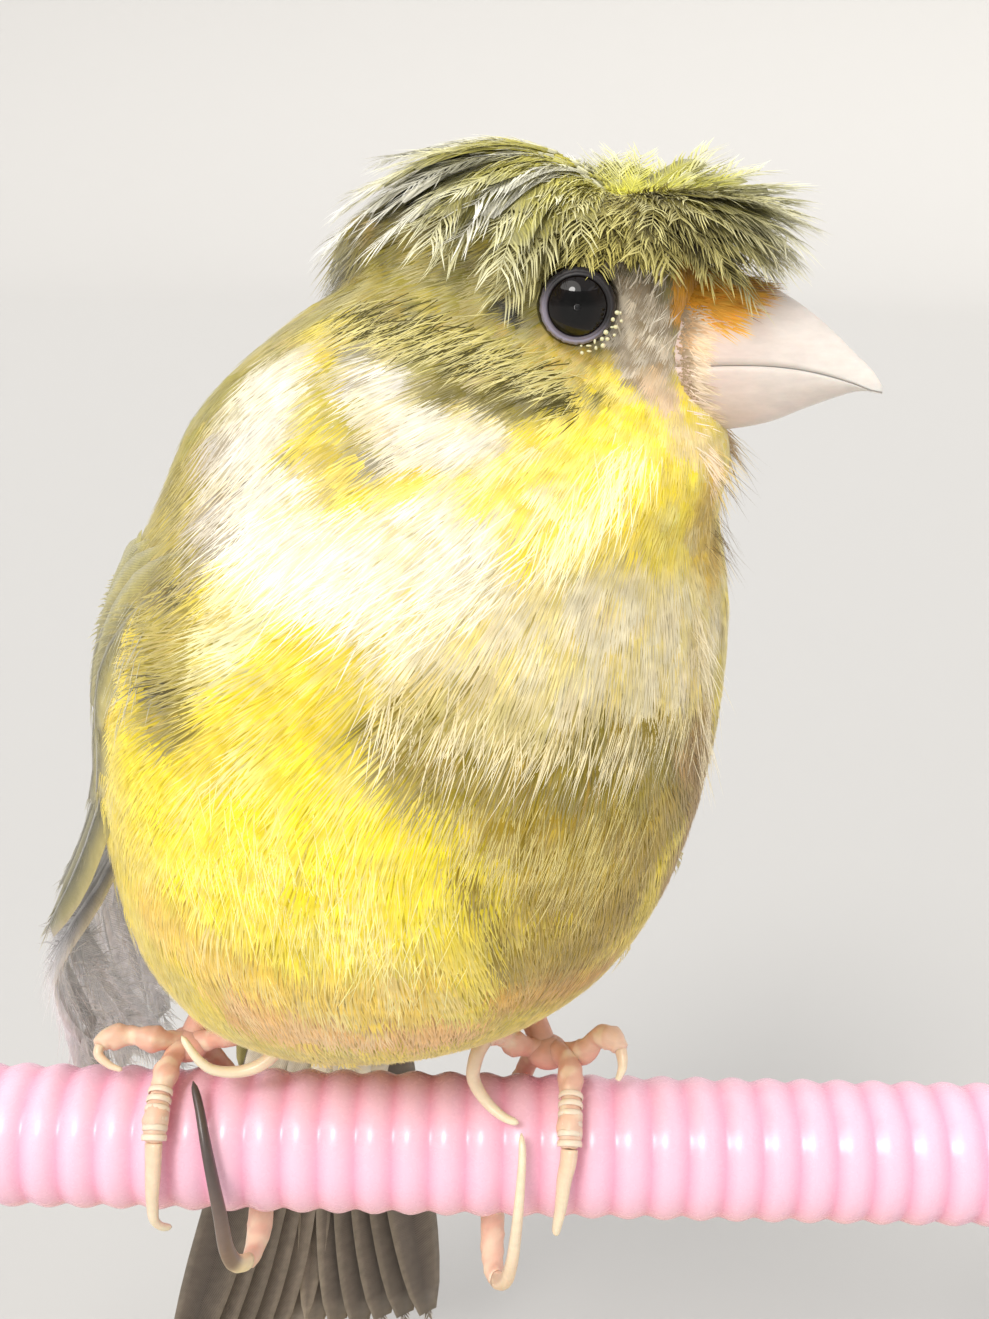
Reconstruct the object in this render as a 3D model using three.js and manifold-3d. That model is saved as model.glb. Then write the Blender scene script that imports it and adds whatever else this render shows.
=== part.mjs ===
// A crested canary, life size, gripping a short cut length of ribbed perch on a plain display stand.
// Millimetres, +Z up. The origin is the middle of the base's underside, the perch runs along X,
// and the bird faces -Y with its head turned to +X.
import * as THREE from "three";
import { mergeVertices } from "three/addons/utils/BufferGeometryUtils.js";
import Module from "manifold-3d";

const wasm = await Module();
wasm.setup();
const { Manifold, Mesh } = wasm;

// Driving sizes
const gap = 0.3; // between neighbouring pieces
const perchRadius = 5.5; // over the ribs
const perchGroove = 0.4; // depth between ribs
const perchLength = 98;
const ribPitch = 3.16;
const perchHeight = 63; // the perch's axis above the floor
const base = { length: 110, depth: 70, thick: 6, corner: 8, bevel: 0.8 };
const rod = { radius: 2, inset: 3.8, foot: 5, footThick: 1.5, saddle: 3.4 };
const tailLength = 62;
const tailFeathers = 12;
const eye = { ahead: 2.9, right: 7.7, z: 66.6, ball: 2.35, opening: 1.72, lid: 0.42 };

// The body as level sections above the perch's axis: half length along its heading, half width across it.
// Heading is in degrees, from -Y (0) towards +X (90): the trunk turns a little and the head a lot.
// Taper narrows the front half of a section, towards the bill.
const sections = [
  { at: "belly", z: 7.4, x: -9, y: 5.5, along: 0, across: 0, heading: 20, taper: 0 },
  { at: "vent", z: 9.5, x: -9, y: 5, along: 7.5, across: 10, heading: 20, taper: 0 },
  { at: "thighs", z: 13, x: -8.6, y: 4, along: 12.8, across: 15.3, heading: 20, taper: 0 },
  { at: "lower belly", z: 19, x: -8, y: 2.6, along: 18, across: 19, heading: 20, taper: 0 },
  { at: "keel", z: 27, x: -7.2, y: 1, along: 21.4, across: 21, heading: 20, taper: 0 },
  { at: "breast", z: 36, x: -6.2, y: -0.5, along: 22.2, across: 21.8, heading: 20, taper: 0 },
  { at: "shoulders", z: 45, x: -5, y: -2.5, along: 20.4, across: 21.3, heading: 20, taper: 0 },
  { at: "collar", z: 52, x: -3.6, y: -3.8, along: 18.5, across: 19.2, heading: 35, taper: 0.03 },
  { at: "throat", z: 57, x: -2.7, y: -4.4, along: 18.4, across: 15.4, heading: 60, taper: 0.12 },
  { at: "cheeks", z: 61, x: -1.8, y: -5.2, along: 16.1, across: 11.4, heading: 74, taper: 0.26 },
  { at: "eyes", z: 65, x: 0.4, y: -5.9, along: 13.7, across: 8.5, heading: 75, taper: 0.3 },
  { at: "brow", z: 68.4, x: 2.6, y: -6.4, along: 10.8, across: 7.4, heading: 75, taper: 0.3 },
  { at: "crown", z: 71, x: 3, y: -6.5, along: 7.6, across: 5.4, heading: 75, taper: 0.2 },
  { at: "top", z: 72.4, x: 3, y: -6.5, along: 0, across: 0, heading: 75, taper: 0 },
];
const headCut = 56.5; // level of the cut between head and neck
const neckCut = 49.5;
const crestCut = 69.6;
const headHeading = 75;
const bodyHeading = 20;
const lean = { degrees: 1.2, level: 40 }; // the whole bird tips a little to its right on the level perch

const rad = THREE.MathUtils.degToRad;
const lerp = THREE.MathUtils.lerp;
const smooth = THREE.MathUtils.smoothstep;
const vec = (x, y, z) => new THREE.Vector3(x, y, z);
const headingOf = (deg) => vec(Math.sin(rad(deg)), -Math.cos(rad(deg)), 0);
const leftOf = (deg) => vec(Math.cos(rad(deg)), Math.sin(rad(deg)), 0);
const forward = headingOf(headHeading);
const headRight = leftOf(headHeading).negate();

// Solids from three.js geometry, and back
function solidOf(geometry) {
  const bare = geometry.clone();
  bare.deleteAttribute("normal");
  bare.deleteAttribute("uv");
  const merged = mergeVertices(bare, 1e-4);
  const make = (triVerts) =>
    new Manifold(new Mesh({ numProp: 3, vertProperties: merged.attributes.position.array, triVerts }));
  const solid = make(new Uint32Array(merged.index.array));
  return solid.volume() < 0 ? make(new Uint32Array(merged.index.array).reverse()) : solid;
}

function geometryOf(solid) {
  const mesh = solid.getMesh();
  const geometry = new THREE.BufferGeometry();
  geometry.setAttribute("position", new THREE.BufferAttribute(new Float32Array(mesh.vertProperties), 3));
  geometry.setIndex(new THREE.BufferAttribute(new Uint32Array(mesh.triVerts), 1));
  geometry.computeVertexNormals();
  return geometry;
}

// The largest closed piece of a solid, with the slivers that cuts leave smoothed away
const biggest = (solid) => solid.decompose().sort((a, b) => b.volume() - a.volume())[0];
const largest = (solid, fine = 0.03) => biggest(biggest(solid).simplify(fine));
const joined = (solids) => Manifold.union(solids);
const leaned = (solid) =>
  solid.translate([0, 0, -perchHeight - lean.level]).rotate([0, -lean.degrees, 0]).translate([0, 0, perchHeight + lean.level]);

// A sphere whose points are put anywhere: place(t, angle, direction), with t from 0 at one pole to 1 at the other
function warpedSphere(around, along, place) {
  const geometry = new THREE.SphereGeometry(1, around, along);
  const position = geometry.attributes.position;
  const out = vec(0, 0, 0);
  for (let i = 0; i < position.count; i++) {
    const ring = Math.floor(i / (around + 1));
    const step = (i % (around + 1)) % around;
    const direction = vec().fromBufferAttribute(position, i);
    place(ring / along, (step / around) * 2 * Math.PI, direction, out);
    position.setXYZ(i, out.x, out.y, out.z);
  }
  return solidOf(geometry);
}

// A rounded rod along a curve, with radius(t), closed at both ends
function sweep(points, radius, around, along) {
  const curve = new THREE.CatmullRomCurve3(points);
  const frames = curve.computeFrenetFrames(along);
  return warpedSphere(around, along, (t, angle, direction, out) => {
    const ring = Math.round(t * along);
    const r = ring === 0 || ring === along ? 0 : radius(t);
    out.copy(curve.getPointAt(t));
    out.addScaledVector(frames.normals[ring], r * Math.cos(angle));
    out.addScaledVector(frames.binormals[ring], r * Math.sin(angle));
  });
}

function ellipsoid(centre, axes, around, along) {
  return warpedSphere(around, along, (t, angle, d, out) =>
    out.copy(centre).addScaledVector(axes[0], d.x).addScaledVector(axes[1], d.y).addScaledVector(axes[2], d.z),
  );
}

// A feather vane: a thin flat strip that tapers. stations: {p, across, up, half, thick}.
// Both faces are split into triangles alike.
function vane(stations) {
  const columns = 2;
  const ring = stations.flatMap(({ p, across, up, half, thick }) =>
    [[-1, 1], [1, 1], [-1, -1], [1, -1]].map(([side, face]) =>
      p.clone().addScaledVector(across, side * half).addScaledVector(up, (face * thick) / 2),
    ),
  );
  const size = 2 * columns;
  const faces = [];
  const top = (row, column) => row * size + column;
  const under = (row, column) => row * size + columns + column;
  for (let row = 0; row + 1 < stations.length; row++) {
    for (let column = 0; column + 1 < columns; column++) {
      faces.push(top(row, column), top(row, column + 1), top(row + 1, column + 1));
      faces.push(top(row, column), top(row + 1, column + 1), top(row + 1, column));
      faces.push(under(row, column), under(row + 1, column + 1), under(row, column + 1));
      faces.push(under(row, column), under(row + 1, column), under(row + 1, column + 1));
    }
    for (const [side, flip] of [[0, false], [columns - 1, true]]) {
      const quad = [top(row, side), top(row + 1, side), under(row + 1, side), under(row, side)];
      if (flip) quad.reverse();
      faces.push(quad[0], quad[1], quad[2], quad[0], quad[2], quad[3]);
    }
  }
  for (const [row, flip] of [[0, true], [stations.length - 1, false]]) {
    for (let column = 0; column + 1 < columns; column++) {
      const quad = [top(row, column), top(row, column + 1), under(row, column + 1), under(row, column)];
      if (flip) quad.reverse();
      faces.push(quad[0], quad[1], quad[2], quad[0], quad[2], quad[3]);
    }
  }
  const geometry = new THREE.BufferGeometry();
  geometry.setAttribute("position", new THREE.Float32BufferAttribute(ring.flatMap((p) => p.toArray()), 3));
  geometry.setIndex(faces);
  return solidOf(geometry);
}

// A vane along a path: at(t) gives its point, up(t) its outward normal. Tilt lifts its right edge
// over the next vane, like a shingle.
function vaneAlong(steps, at, up, half, thick, tilt = 0) {
  const stations = [];
  for (let i = 0; i <= steps; i++) {
    const t = i / steps;
    const tangent = at(Math.min(1, t + 0.02)).sub(at(Math.max(0, t - 0.02))).normalize();
    const across = tangent.clone().cross(up(t)).normalize().applyAxisAngle(tangent, tilt);
    stations.push({ p: at(t), across, up: across.clone().cross(tangent).normalize(), half: half(t), thick: thick(t) });
  }
  return vane(stations);
}

// Blade outlines, t from root to tip: a quill that widens fast and rounds off, or narrows to a soft point
const bladeHalf = (width, tip) => (t) =>
  (width / 2) * Math.min(1, 0.45 + 3 * t) * (t < 0.75 ? 1 : lerp(1, tip, ((t - 0.75) / 0.25) ** 1.6));
const bladeThick = (thick) => (t) => lerp(thick * 1.3, thick, t) * (t > 0.99 ? 0.7 : 1);

// The body's level section at z, eased between the named ones
function sectionAt(z) {
  const last = sections.length - 1;
  const level = THREE.MathUtils.clamp(z, sections[0].z, sections[last].z);
  let i = sections.findIndex((s) => s.z >= level);
  i = Math.max(1, i);
  const [a, b] = [sections[i - 1], sections[i]];
  const [before, after] = [sections[Math.max(0, i - 2)], sections[Math.min(last, i + 1)]];
  const t = (level - a.z) / (b.z - a.z);
  const eased = (key, power) => {
    const v = (s) => s[key] ** power;
    const slope = (p, q) => (v(q) - v(p)) / Math.max(1e-6, q.z - p.z);
    const span = b.z - a.z;
    const m0 = (i === 1 ? slope(a, b) : slope(before, b)) * span;
    const m1 = (i === last ? slope(a, b) : slope(a, after)) * span;
    const t2 = t * t;
    const t3 = t2 * t;
    const made = (2 * t3 - 3 * t2 + 1) * v(a) + (t3 - 2 * t2 + t) * m0 + (3 * t2 - 2 * t3) * v(b) + (t3 - t2) * m1;
    return power === 2 ? Math.sqrt(Math.max(0, made)) : made;
  };
  const [x, y, heading, taper] = ["x", "y", "heading", "taper"].map((key) => eased(key, 1));
  return { x, y, heading, taper, along: eased("along", 2), across: eased("across", 2) };
}

// A point on the body at a level and a turn round it: 0 ahead, 90 its left, -90 its right, 180 its back
function onBody(z, turn, out = 0) {
  const s = sectionAt(z);
  const a = rad(turn);
  return vec(s.x, s.y, perchHeight + z)
    .addScaledVector(headingOf(s.heading), Math.cos(a) * (s.along + out))
    .addScaledVector(leftOf(s.heading), Math.sin(a) * (s.across * (1 - s.taper * Math.cos(a)) + out));
}

function bodySolid(grow, around = 32, along = 24) {
  const [low, high] = [sections[0].z - grow, sections[sections.length - 1].z + grow];
  const trunk = warpedSphere(around, along, (t, angle, d, out) => {
    const share = (1 - Math.cos(Math.PI * t)) / 2;
    const level = lerp(high, low, share);
    const inner = lerp(sections[sections.length - 1].z, sections[0].z, share);
    const pole = t === 0 || t === 1;
    out.copy(onBody(inner, THREE.MathUtils.radToDeg(angle), pole ? 0 : grow));
    if (pole) out.copy(vec(sectionAt(inner).x, sectionAt(inner).y, 0));
    out.z = perchHeight + level;
  });
  const slope = rad(72);
  const down = headingOf(bodyHeading).multiplyScalar(-Math.cos(slope)).add(vec(0, 0, -Math.sin(slope)));
  const side = leftOf(bodyHeading);
  const rump = ellipsoid(
    vec(-13, 12.6, perchHeight + 19),
    [side.clone().multiplyScalar(12.6 + grow), down.clone().multiplyScalar(-16 - grow), side.clone().cross(down).multiplyScalar(-9.6 - grow)],
    24,
    16,
  );
  return trunk.add(rump);
}

const nodes = [];
const add = (name, solid, colour, roughness) => nodes.push({ name, solid, colour, roughness });
const addLeaned = (name, solid, colour, roughness) => add(name, leaned(solid), colour, roughness);
const colours = { yellow: 0xd8bf35, olive: 0x7d7836, pale: 0xe9e2c2, slate: 0x5c564f, horn: 0xe6c9b8, leg: 0xd7a08e };
const plumage = 0.85;

const body = bodySolid(0);
const bodyGrown = bodySolid(gap);
const slab = (z) => solidOf(new THREE.BoxGeometry(90, 90, gap).translate(0, 0, perchHeight + z));
const between = (low, high) =>
  solidOf(new THREE.BoxGeometry(120, 120, high - low).translate(0, 0, perchHeight + (low + high) / 2));

// Round the perch: angle 0 on top, 90 in front, 180 below, 270 behind; out is the distance from its axis
const roundPerch = (x, angle, out) => vec(x, -Math.sin(rad(angle)) * out, perchHeight + Math.cos(rad(angle)) * out);

function perchSolid(grow) {
  const half = perchLength / 2 + grow;
  const ribs = Math.round(perchLength / ribPitch);
  const profile = [new THREE.Vector2(0, -half)];
  for (let i = 0; i < ribs; i++) {
    const at = -half + (i * 2 * half) / ribs;
    profile.push(new THREE.Vector2(perchRadius - perchGroove + grow, at));
    profile.push(new THREE.Vector2(perchRadius + grow, at + half / ribs));
  }
  profile.push(new THREE.Vector2(perchRadius - perchGroove + grow, half), new THREE.Vector2(0, half));
  return solidOf(new THREE.LatheGeometry(profile, 12).rotateZ(-Math.PI / 2).translate(0, 0, perchHeight));
}

function makeStand() {
  const { length, depth, thick, corner, bevel } = base;
  const shape = new THREE.Shape();
  const [w, d] = [length / 2 - bevel, depth / 2 - bevel];
  for (const [sx, sy, from] of [[1, -1, -90], [1, 1, 0], [-1, 1, 90], [-1, -1, 180]])
    shape.absarc(sx * (w - corner), sy * (d - corner), corner, rad(from), rad(from + 90), false);
  const plate = new THREE.ExtrudeGeometry(shape, {
    depth: thick - 2 * bevel, bevelThickness: bevel, bevelSize: bevel, bevelSegments: 1, curveSegments: 5,
  });
  add("stand_base", solidOf(plate.translate(0, 0, bevel)), 0xd9d4c8, 0.6);
  const grown = solidOf(
    new THREE.CylinderGeometry(perchRadius + gap, perchRadius + gap, perchLength, 24)
      .rotateZ(Math.PI / 2).translate(0, 0, perchHeight),
  );
  const bottom = thick + gap;
  const top = perchHeight - perchRadius + 2;
  const profile = [
    [0, bottom], [rod.foot, bottom], [rod.foot, bottom + rod.footThick], [rod.radius, bottom + rod.footThick + 1],
    [rod.radius, top - 7], [rod.saddle, top - 5], [rod.saddle, top], [0, top],
  ].map(([r, z]) => new THREE.Vector2(r, z));
  for (const [name, side] of [["stand_rod_right", -1], ["stand_rod_left", 1]]) {
    const turned = new THREE.LatheGeometry(profile, 16).rotateX(Math.PI / 2);
    const post = solidOf(turned.translate(side * (perchLength / 2 - rod.inset), 0, 0));
    add(name, largest(post.subtract(grown)), 0xb9b4a8, 0.35);
  }
  add("perch", perchSolid(0), 0xf2a8bd, 0.35);
}

// Places on the head: ahead of its middle, out to the bird's right, and above the perch's axis
const headPoint = (ahead, right, z) =>
  vec(4, -6.8, perchHeight + z).addScaledVector(forward, ahead).addScaledVector(headRight, right);

// The bill as upright sections, from inside the face to the tip: how far ahead, its culmen, its underside
// and its half width, with the level of the mouth line
const billSections = [
  { ahead: 5.6, top: 67.6, low: 59.4, half: 3.3, mouth: 63 },
  { ahead: 8.6, top: 68.3, low: 58.8, half: 3.9, mouth: 63 },
  { ahead: 11.5, top: 67.9, low: 59, half: 3.55, mouth: 63.1 },
  { ahead: 13.5, top: 67.1, low: 59.5, half: 3.05, mouth: 63.05 },
  { ahead: 15.3, top: 66, low: 60.3, half: 2.4, mouth: 62.8 },
  { ahead: 16.9, top: 64.7, low: 60.95, half: 1.75, mouth: 62.4 },
  { ahead: 18.2, top: 63.5, low: 61.4, half: 1.1, mouth: 61.95 },
  { ahead: 19.3, top: 62.45, low: 61.5, half: 0.5, mouth: 61.5 },
  { ahead: 19.8, top: 61.7, low: 61.55, half: 0.1, mouth: 61.4 },
];

function makeBill() {
  const last = billSections.length - 1;
  const whole = warpedSphere(16, last, (t, angle, d, out) => {
    const s = billSections[Math.round(t * last)];
    const pole = t === 0 || t === 1 ? 0 : 1;
    const up = Math.sin(angle);
    const reach = up > 0 ? s.top - s.mouth : s.mouth - s.low;
    const ridge = Math.sign(up) * Math.abs(up) ** 1.15;
    const level = pole ? s.mouth + ridge * reach : (s.top + s.low) / 2;
    out.copy(headPoint(s.ahead, Math.cos(angle) * s.half * pole, level));
  });
  const trimmed = largest(whole.subtract(bodyGrown));
  const line = billSections.map((s) => [s.ahead, s.mouth]);
  line[0][0] -= 3;
  line[last][0] += 3;
  const knife = new THREE.Shape([
    ...line.map(([a, z]) => new THREE.Vector2(a, z + gap / 2)),
    ...line.map(([a, z]) => new THREE.Vector2(a, z - gap / 2)).reverse(),
  ]);
  const cut = new THREE.ExtrudeGeometry(knife, { depth: 16, bevelEnabled: false, curveSegments: 1 });
  cut.translate(0, 0, -8).rotateX(Math.PI / 2).rotateZ(Math.atan2(forward.y, forward.x));
  cut.translate(...headPoint(0, 0, 0).toArray());
  const halves = trimmed.subtract(solidOf(cut)).decompose().sort((a, b) => b.volume() - a.volume()).slice(0, 2);
  halves.sort((a, b) => b.boundingBox().max[2] - a.boundingBox().max[2]);
  const nostril = (side) =>
    ellipsoid(headPoint(11.6, side * 2.6, 66.1), [forward.clone().multiplyScalar(0.7), headRight, vec(0, 0, 0.4)], 8, 6);
  addLeaned("bill_upper", largest(halves[0].subtract(joined([nostril(1), nostril(-1)]))), colours.horn, 0.35);
  addLeaned("bill_lower", halves[1], colours.horn, 0.35);
}

// The crest: vanes that radiate in tiers from a whorl near the front of the crown. The lowest tier droops
// to a rim above the eyes, the highest stands up on the far side and at the back.
// Four values are for the way ahead, the bird's left, back and the bird's right.
const whorl = { ahead: 3.8, right: 0.3, z: 71.4 };
const crestTiers = [
  { count: 18, steps: 3, turn: 0, start: 0.6, reach: [11.4, 9.4, 19.6, 8.8], tip: [69, 68.6, 66.4, 67.6], arch: [1.6, 1.6, 3.4, 1.6], width: 3.5 },
  { count: 14, steps: 3, turn: 7, start: 0.54, reach: [11.6, 9, 18.8, 7.2], tip: [71.6, 73.6, 71, 69.2], arch: [1.2, 1, 2.6, 1.1], width: 3.2 },
  { count: 9, steps: 2, turn: 3, start: 0.42, reach: [10.6, 7.4, 15, 4.8], tip: [73.6, 76.4, 75.4, 71], arch: [0.6, 0.2, 1.4, 0.7], width: 2.8 },
];

function compass(values, turn) {
  const [c, s] = [Math.cos(rad(turn)), Math.sin(rad(turn))];
  return c * c * (c > 0 ? values[0] : values[2]) + s * s * (s > 0 ? values[1] : values[3]);
}

function makeCrest(keepOut) {
  const vanes = [];
  for (const tier of crestTiers)
    for (let i = 0; i < tier.count; i++) {
      const turn = tier.turn + (i * 360) / tier.count;
      const vary = 1 + 0.05 * Math.sin(i * 2.4 + tier.turn);
      const [reach, tip, arch] = [tier.reach, tier.tip, tier.arch].map((values) => compass(values, turn));
      const at = (u) => {
        const t = lerp(tier.start, 1, u) * vary;
        const [a, r] = [Math.cos(rad(turn)) * reach * t, -Math.sin(rad(turn)) * reach * t];
        return headPoint(whorl.ahead + a, whorl.right + r, lerp(whorl.z, tip, t ** 1.6) + arch * Math.sin(Math.PI * t ** 0.8));
      };
      const up = (u) => at(u).sub(headPoint(0, 0, 56)).normalize();
      const half = (u) => (tier.width / 2) * (u < 0.5 ? lerp(0.6, 1, u / 0.5) : lerp(1, 0.3, ((u - 0.5) / 0.5) ** 1.5));
      vanes.push(vaneAlong(tier.steps, at, up, half, (u) => lerp(0.8, 0.5, u)));
    }
  const core = ellipsoid(
    headPoint(-3.4, 0, 70.8),
    [forward.clone().multiplyScalar(10.2), vec(0, 0, 3.6), headRight.clone().multiplyScalar(7.8)],
    18,
    10,
  );
  const cap = body.add(core).intersect(between(crestCut + gap / 2, 90));
  return largest(joined([cap, core, ...vanes]).subtract(keepOut), 0.12);
}

function makeHead() {
  let head = body.intersect(between(headCut + gap / 2, crestCut - gap / 2));
  const balls = [];
  for (const [name, side] of [["eye_right", 1], ["eye_left", -1]]) {
    const out = headRight.clone().multiplyScalar(side).addScaledVector(forward, 0.2).normalize();
    const opening = headPoint(eye.ahead, side * eye.right, eye.z);
    const centre = opening.clone().addScaledVector(out, -Math.sqrt(eye.ball ** 2 - eye.opening ** 2));
    const ball = (grow) => solidOf(new THREE.SphereGeometry(eye.ball + grow, 14, 8).translate(...centre.toArray()));
    const turned = new THREE.Quaternion().setFromUnitVectors(vec(0, 0, 1), out);
    const middle = opening.clone().addScaledVector(out, 0.1);
    const lid = new THREE.TorusGeometry(eye.opening + eye.lid, eye.lid, 6, 18).applyQuaternion(turned);
    const lens = new THREE.SphereGeometry(eye.opening + 1.5, 16, 8).scale(1, 1, 0.35).applyQuaternion(turned);
    const hollow = lens.translate(...middle.clone().addScaledVector(out, 1.05).toArray());
    const ring = solidOf(lid.translate(...middle.toArray()));
    head = head.subtract(solidOf(hollow)).add(ring).subtract(ball(gap));
    balls.push(ball(gap));
    addLeaned(name, ball(0), 0x120c0a, 0.08);
  }
  head = largest(head);
  addLeaned("head", head, colours.olive, plumage);
  const skull = bodySolid(gap).intersect(between(headCut - 5, crestCut + gap / 2));
  addLeaned("crest", makeCrest(joined([skull, ...balls])), colours.olive, plumage);
}

// Wings: a flat arm let into the flank, and vanes in tiers over it, placed round the body's own sections
// (outward offset 0 is flush with the flank). The right wing droops away from the flank; the left lies close.
const wings = [
  { side: -1, name: "wing_right", flare: 7.2, lag: 0 },
  { side: 1, name: "wing_left", flare: 2, lag: 8 },
];
const wingLow = 27; // below this level the wing hangs free of the narrowing belly
const wingArm = { z: 36, high: 16, turn: 116, wide: 38, out: -1.9, half: 1.3 };

function onWing(wing, z, turn, out) {
  const flare = wing.flare * (1 - smooth(z, 14, 36));
  const point = onBody(Math.max(z, wingLow), wing.side * turn, out + flare);
  const free = THREE.MathUtils.clamp((wingLow - z) / 40, 0, 1);
  return point.addScaledVector(headingOf(bodyHeading), -6 * free).setZ(perchHeight + z);
}

function wingPad(wing, grow, out, half) {
  return warpedSphere(16, 10, (t, angle, d, point) =>
    point.copy(
      onWing(
        wing,
        wingArm.z + (wingArm.high + grow) * d.y,
        wingArm.turn + wing.lag + (wingArm.wide + 3 * grow) * d.x,
        out + half * d.z,
      ),
    ),
  );
}

const wingTiers = [
  { tier: "primaries", count: 6, steps: 3, root: [30, 22], rootTurn: [88, 112], tip: [4, -8], tipTurn: [118, 150], out: [-1.8, -1], width: 7, thick: 0.6 },
  { tier: "secondaries", count: 4, steps: 3, root: [38, 33], rootTurn: [104, 156], tip: [1, 9], tipTurn: [124, 166], out: [-0.9, 0.1], width: 9, thick: 0.6 },
  { tier: "greater coverts", count: 4, steps: 2, root: [44, 40], rootTurn: [86, 150], tip: [22, 27], tipTurn: [94, 160], out: [-0.4, 0.5], width: 9, thick: 0.55 },
  { tier: "median coverts", count: 4, steps: 2, root: [48, 45], rootTurn: [86, 142], tip: [34, 37], tipTurn: [90, 152], out: [0, 0.8], width: 8.6, thick: 0.55 },
];

function makeWing(wing, keepOut) {
  const arm = wingPad(wing, 0, wingArm.out, wingArm.half);
  const vanes = wingTiers.flatMap((tier) =>
    Array.from({ length: tier.count }, (_, i) => {
      const k = i / (tier.count - 1);
      const [rootZ, rootTurn, tipZ, tipTurn, layer] = ["root", "rootTurn", "tip", "tipTurn", "out"].map((key) =>
        lerp(tier[key][0], tier[key][1], k),
      );
      const place = (t, out) =>
        onWing(wing, lerp(rootZ, tipZ, t), wing.lag + lerp(rootTurn, tipTurn, t ** 1.15), out + 0.8 * smooth(t, 0, 0.7) - 0.8);
      const at = (t) => place(t, layer);
      const up = (t) => at(t).sub(place(t, layer - 6)).normalize();
      return vaneAlong(tier.steps, at, up, bladeHalf(tier.width, 0.35), bladeThick(tier.thick), wing.side * 0.12);
    }),
  );
  return largest(joined([arm, ...vanes]).subtract(keepOut), 0.12);
}

// Tail: a root under the rump and a fan of long vanes that hangs behind the perch
const tail = {
  root: vec(-14.6, 18.6, perchHeight + 9.5),
  tip: vec(-20.8, 29.2, perchHeight - 48.5),
  fan: 11,
  width: 6.6,
};

function makeTail(wingSolids) {
  const down = tail.tip.clone().sub(tail.root).normalize();
  const side = leftOf(bodyHeading);
  const back = side.clone().cross(down).normalize();
  const root = ellipsoid(
    tail.root.clone().addScaledVector(down, 3),
    [side.clone().multiplyScalar(5.4), down.clone().multiplyScalar(-12), back.clone().multiplyScalar(-2.8)],
    14,
    10,
  );
  const fan = (count, steps, spreadDegrees, spacing, layer, long, width, dish, tilt) =>
    Array.from({ length: count }, (_, i) => {
      const k = i / (count - 1) - 0.5;
      const spread = rad(2 * spreadDegrees * k);
      const direction = down.clone().multiplyScalar(Math.cos(spread)).addScaledVector(side, Math.sin(spread));
      const start = tail.root.clone().addScaledVector(side, spacing * k).addScaledVector(back, layer(k));
      const at = (t) => start.clone().addScaledVector(direction, long(k) * t).addScaledVector(back, dish * t * t);
      return vaneAlong(steps, at, () => back, bladeHalf(width, 0.4), bladeThick(0.55), k < 0 ? tilt : -tilt);
    });
  const rectrices = fan(tailFeathers, 3, tail.fan, 5, (k) => 0.9 - 3 * Math.abs(k), (k) => tailLength - 3 + 6 * Math.abs(k), tail.width, 1.2, 0.16);
  const upper = fan(4, 2, 14, 7, (k) => 2.5 - 2.4 * Math.abs(k), (k) => 21 - 8 * Math.abs(k), 6, -1.1, 0.1);
  const under = fan(4, 2, 12, 6, (k) => -2.2 + 1.6 * Math.abs(k), (k) => 24 - 8 * Math.abs(k), 6, 1.2, -0.1);
  const keepOut = joined([bodyGrown, ...wingSolids]);
  return largest(joined([root, ...rectrices, ...upper, ...under]).subtract(keepOut), 0.06);
}

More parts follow.
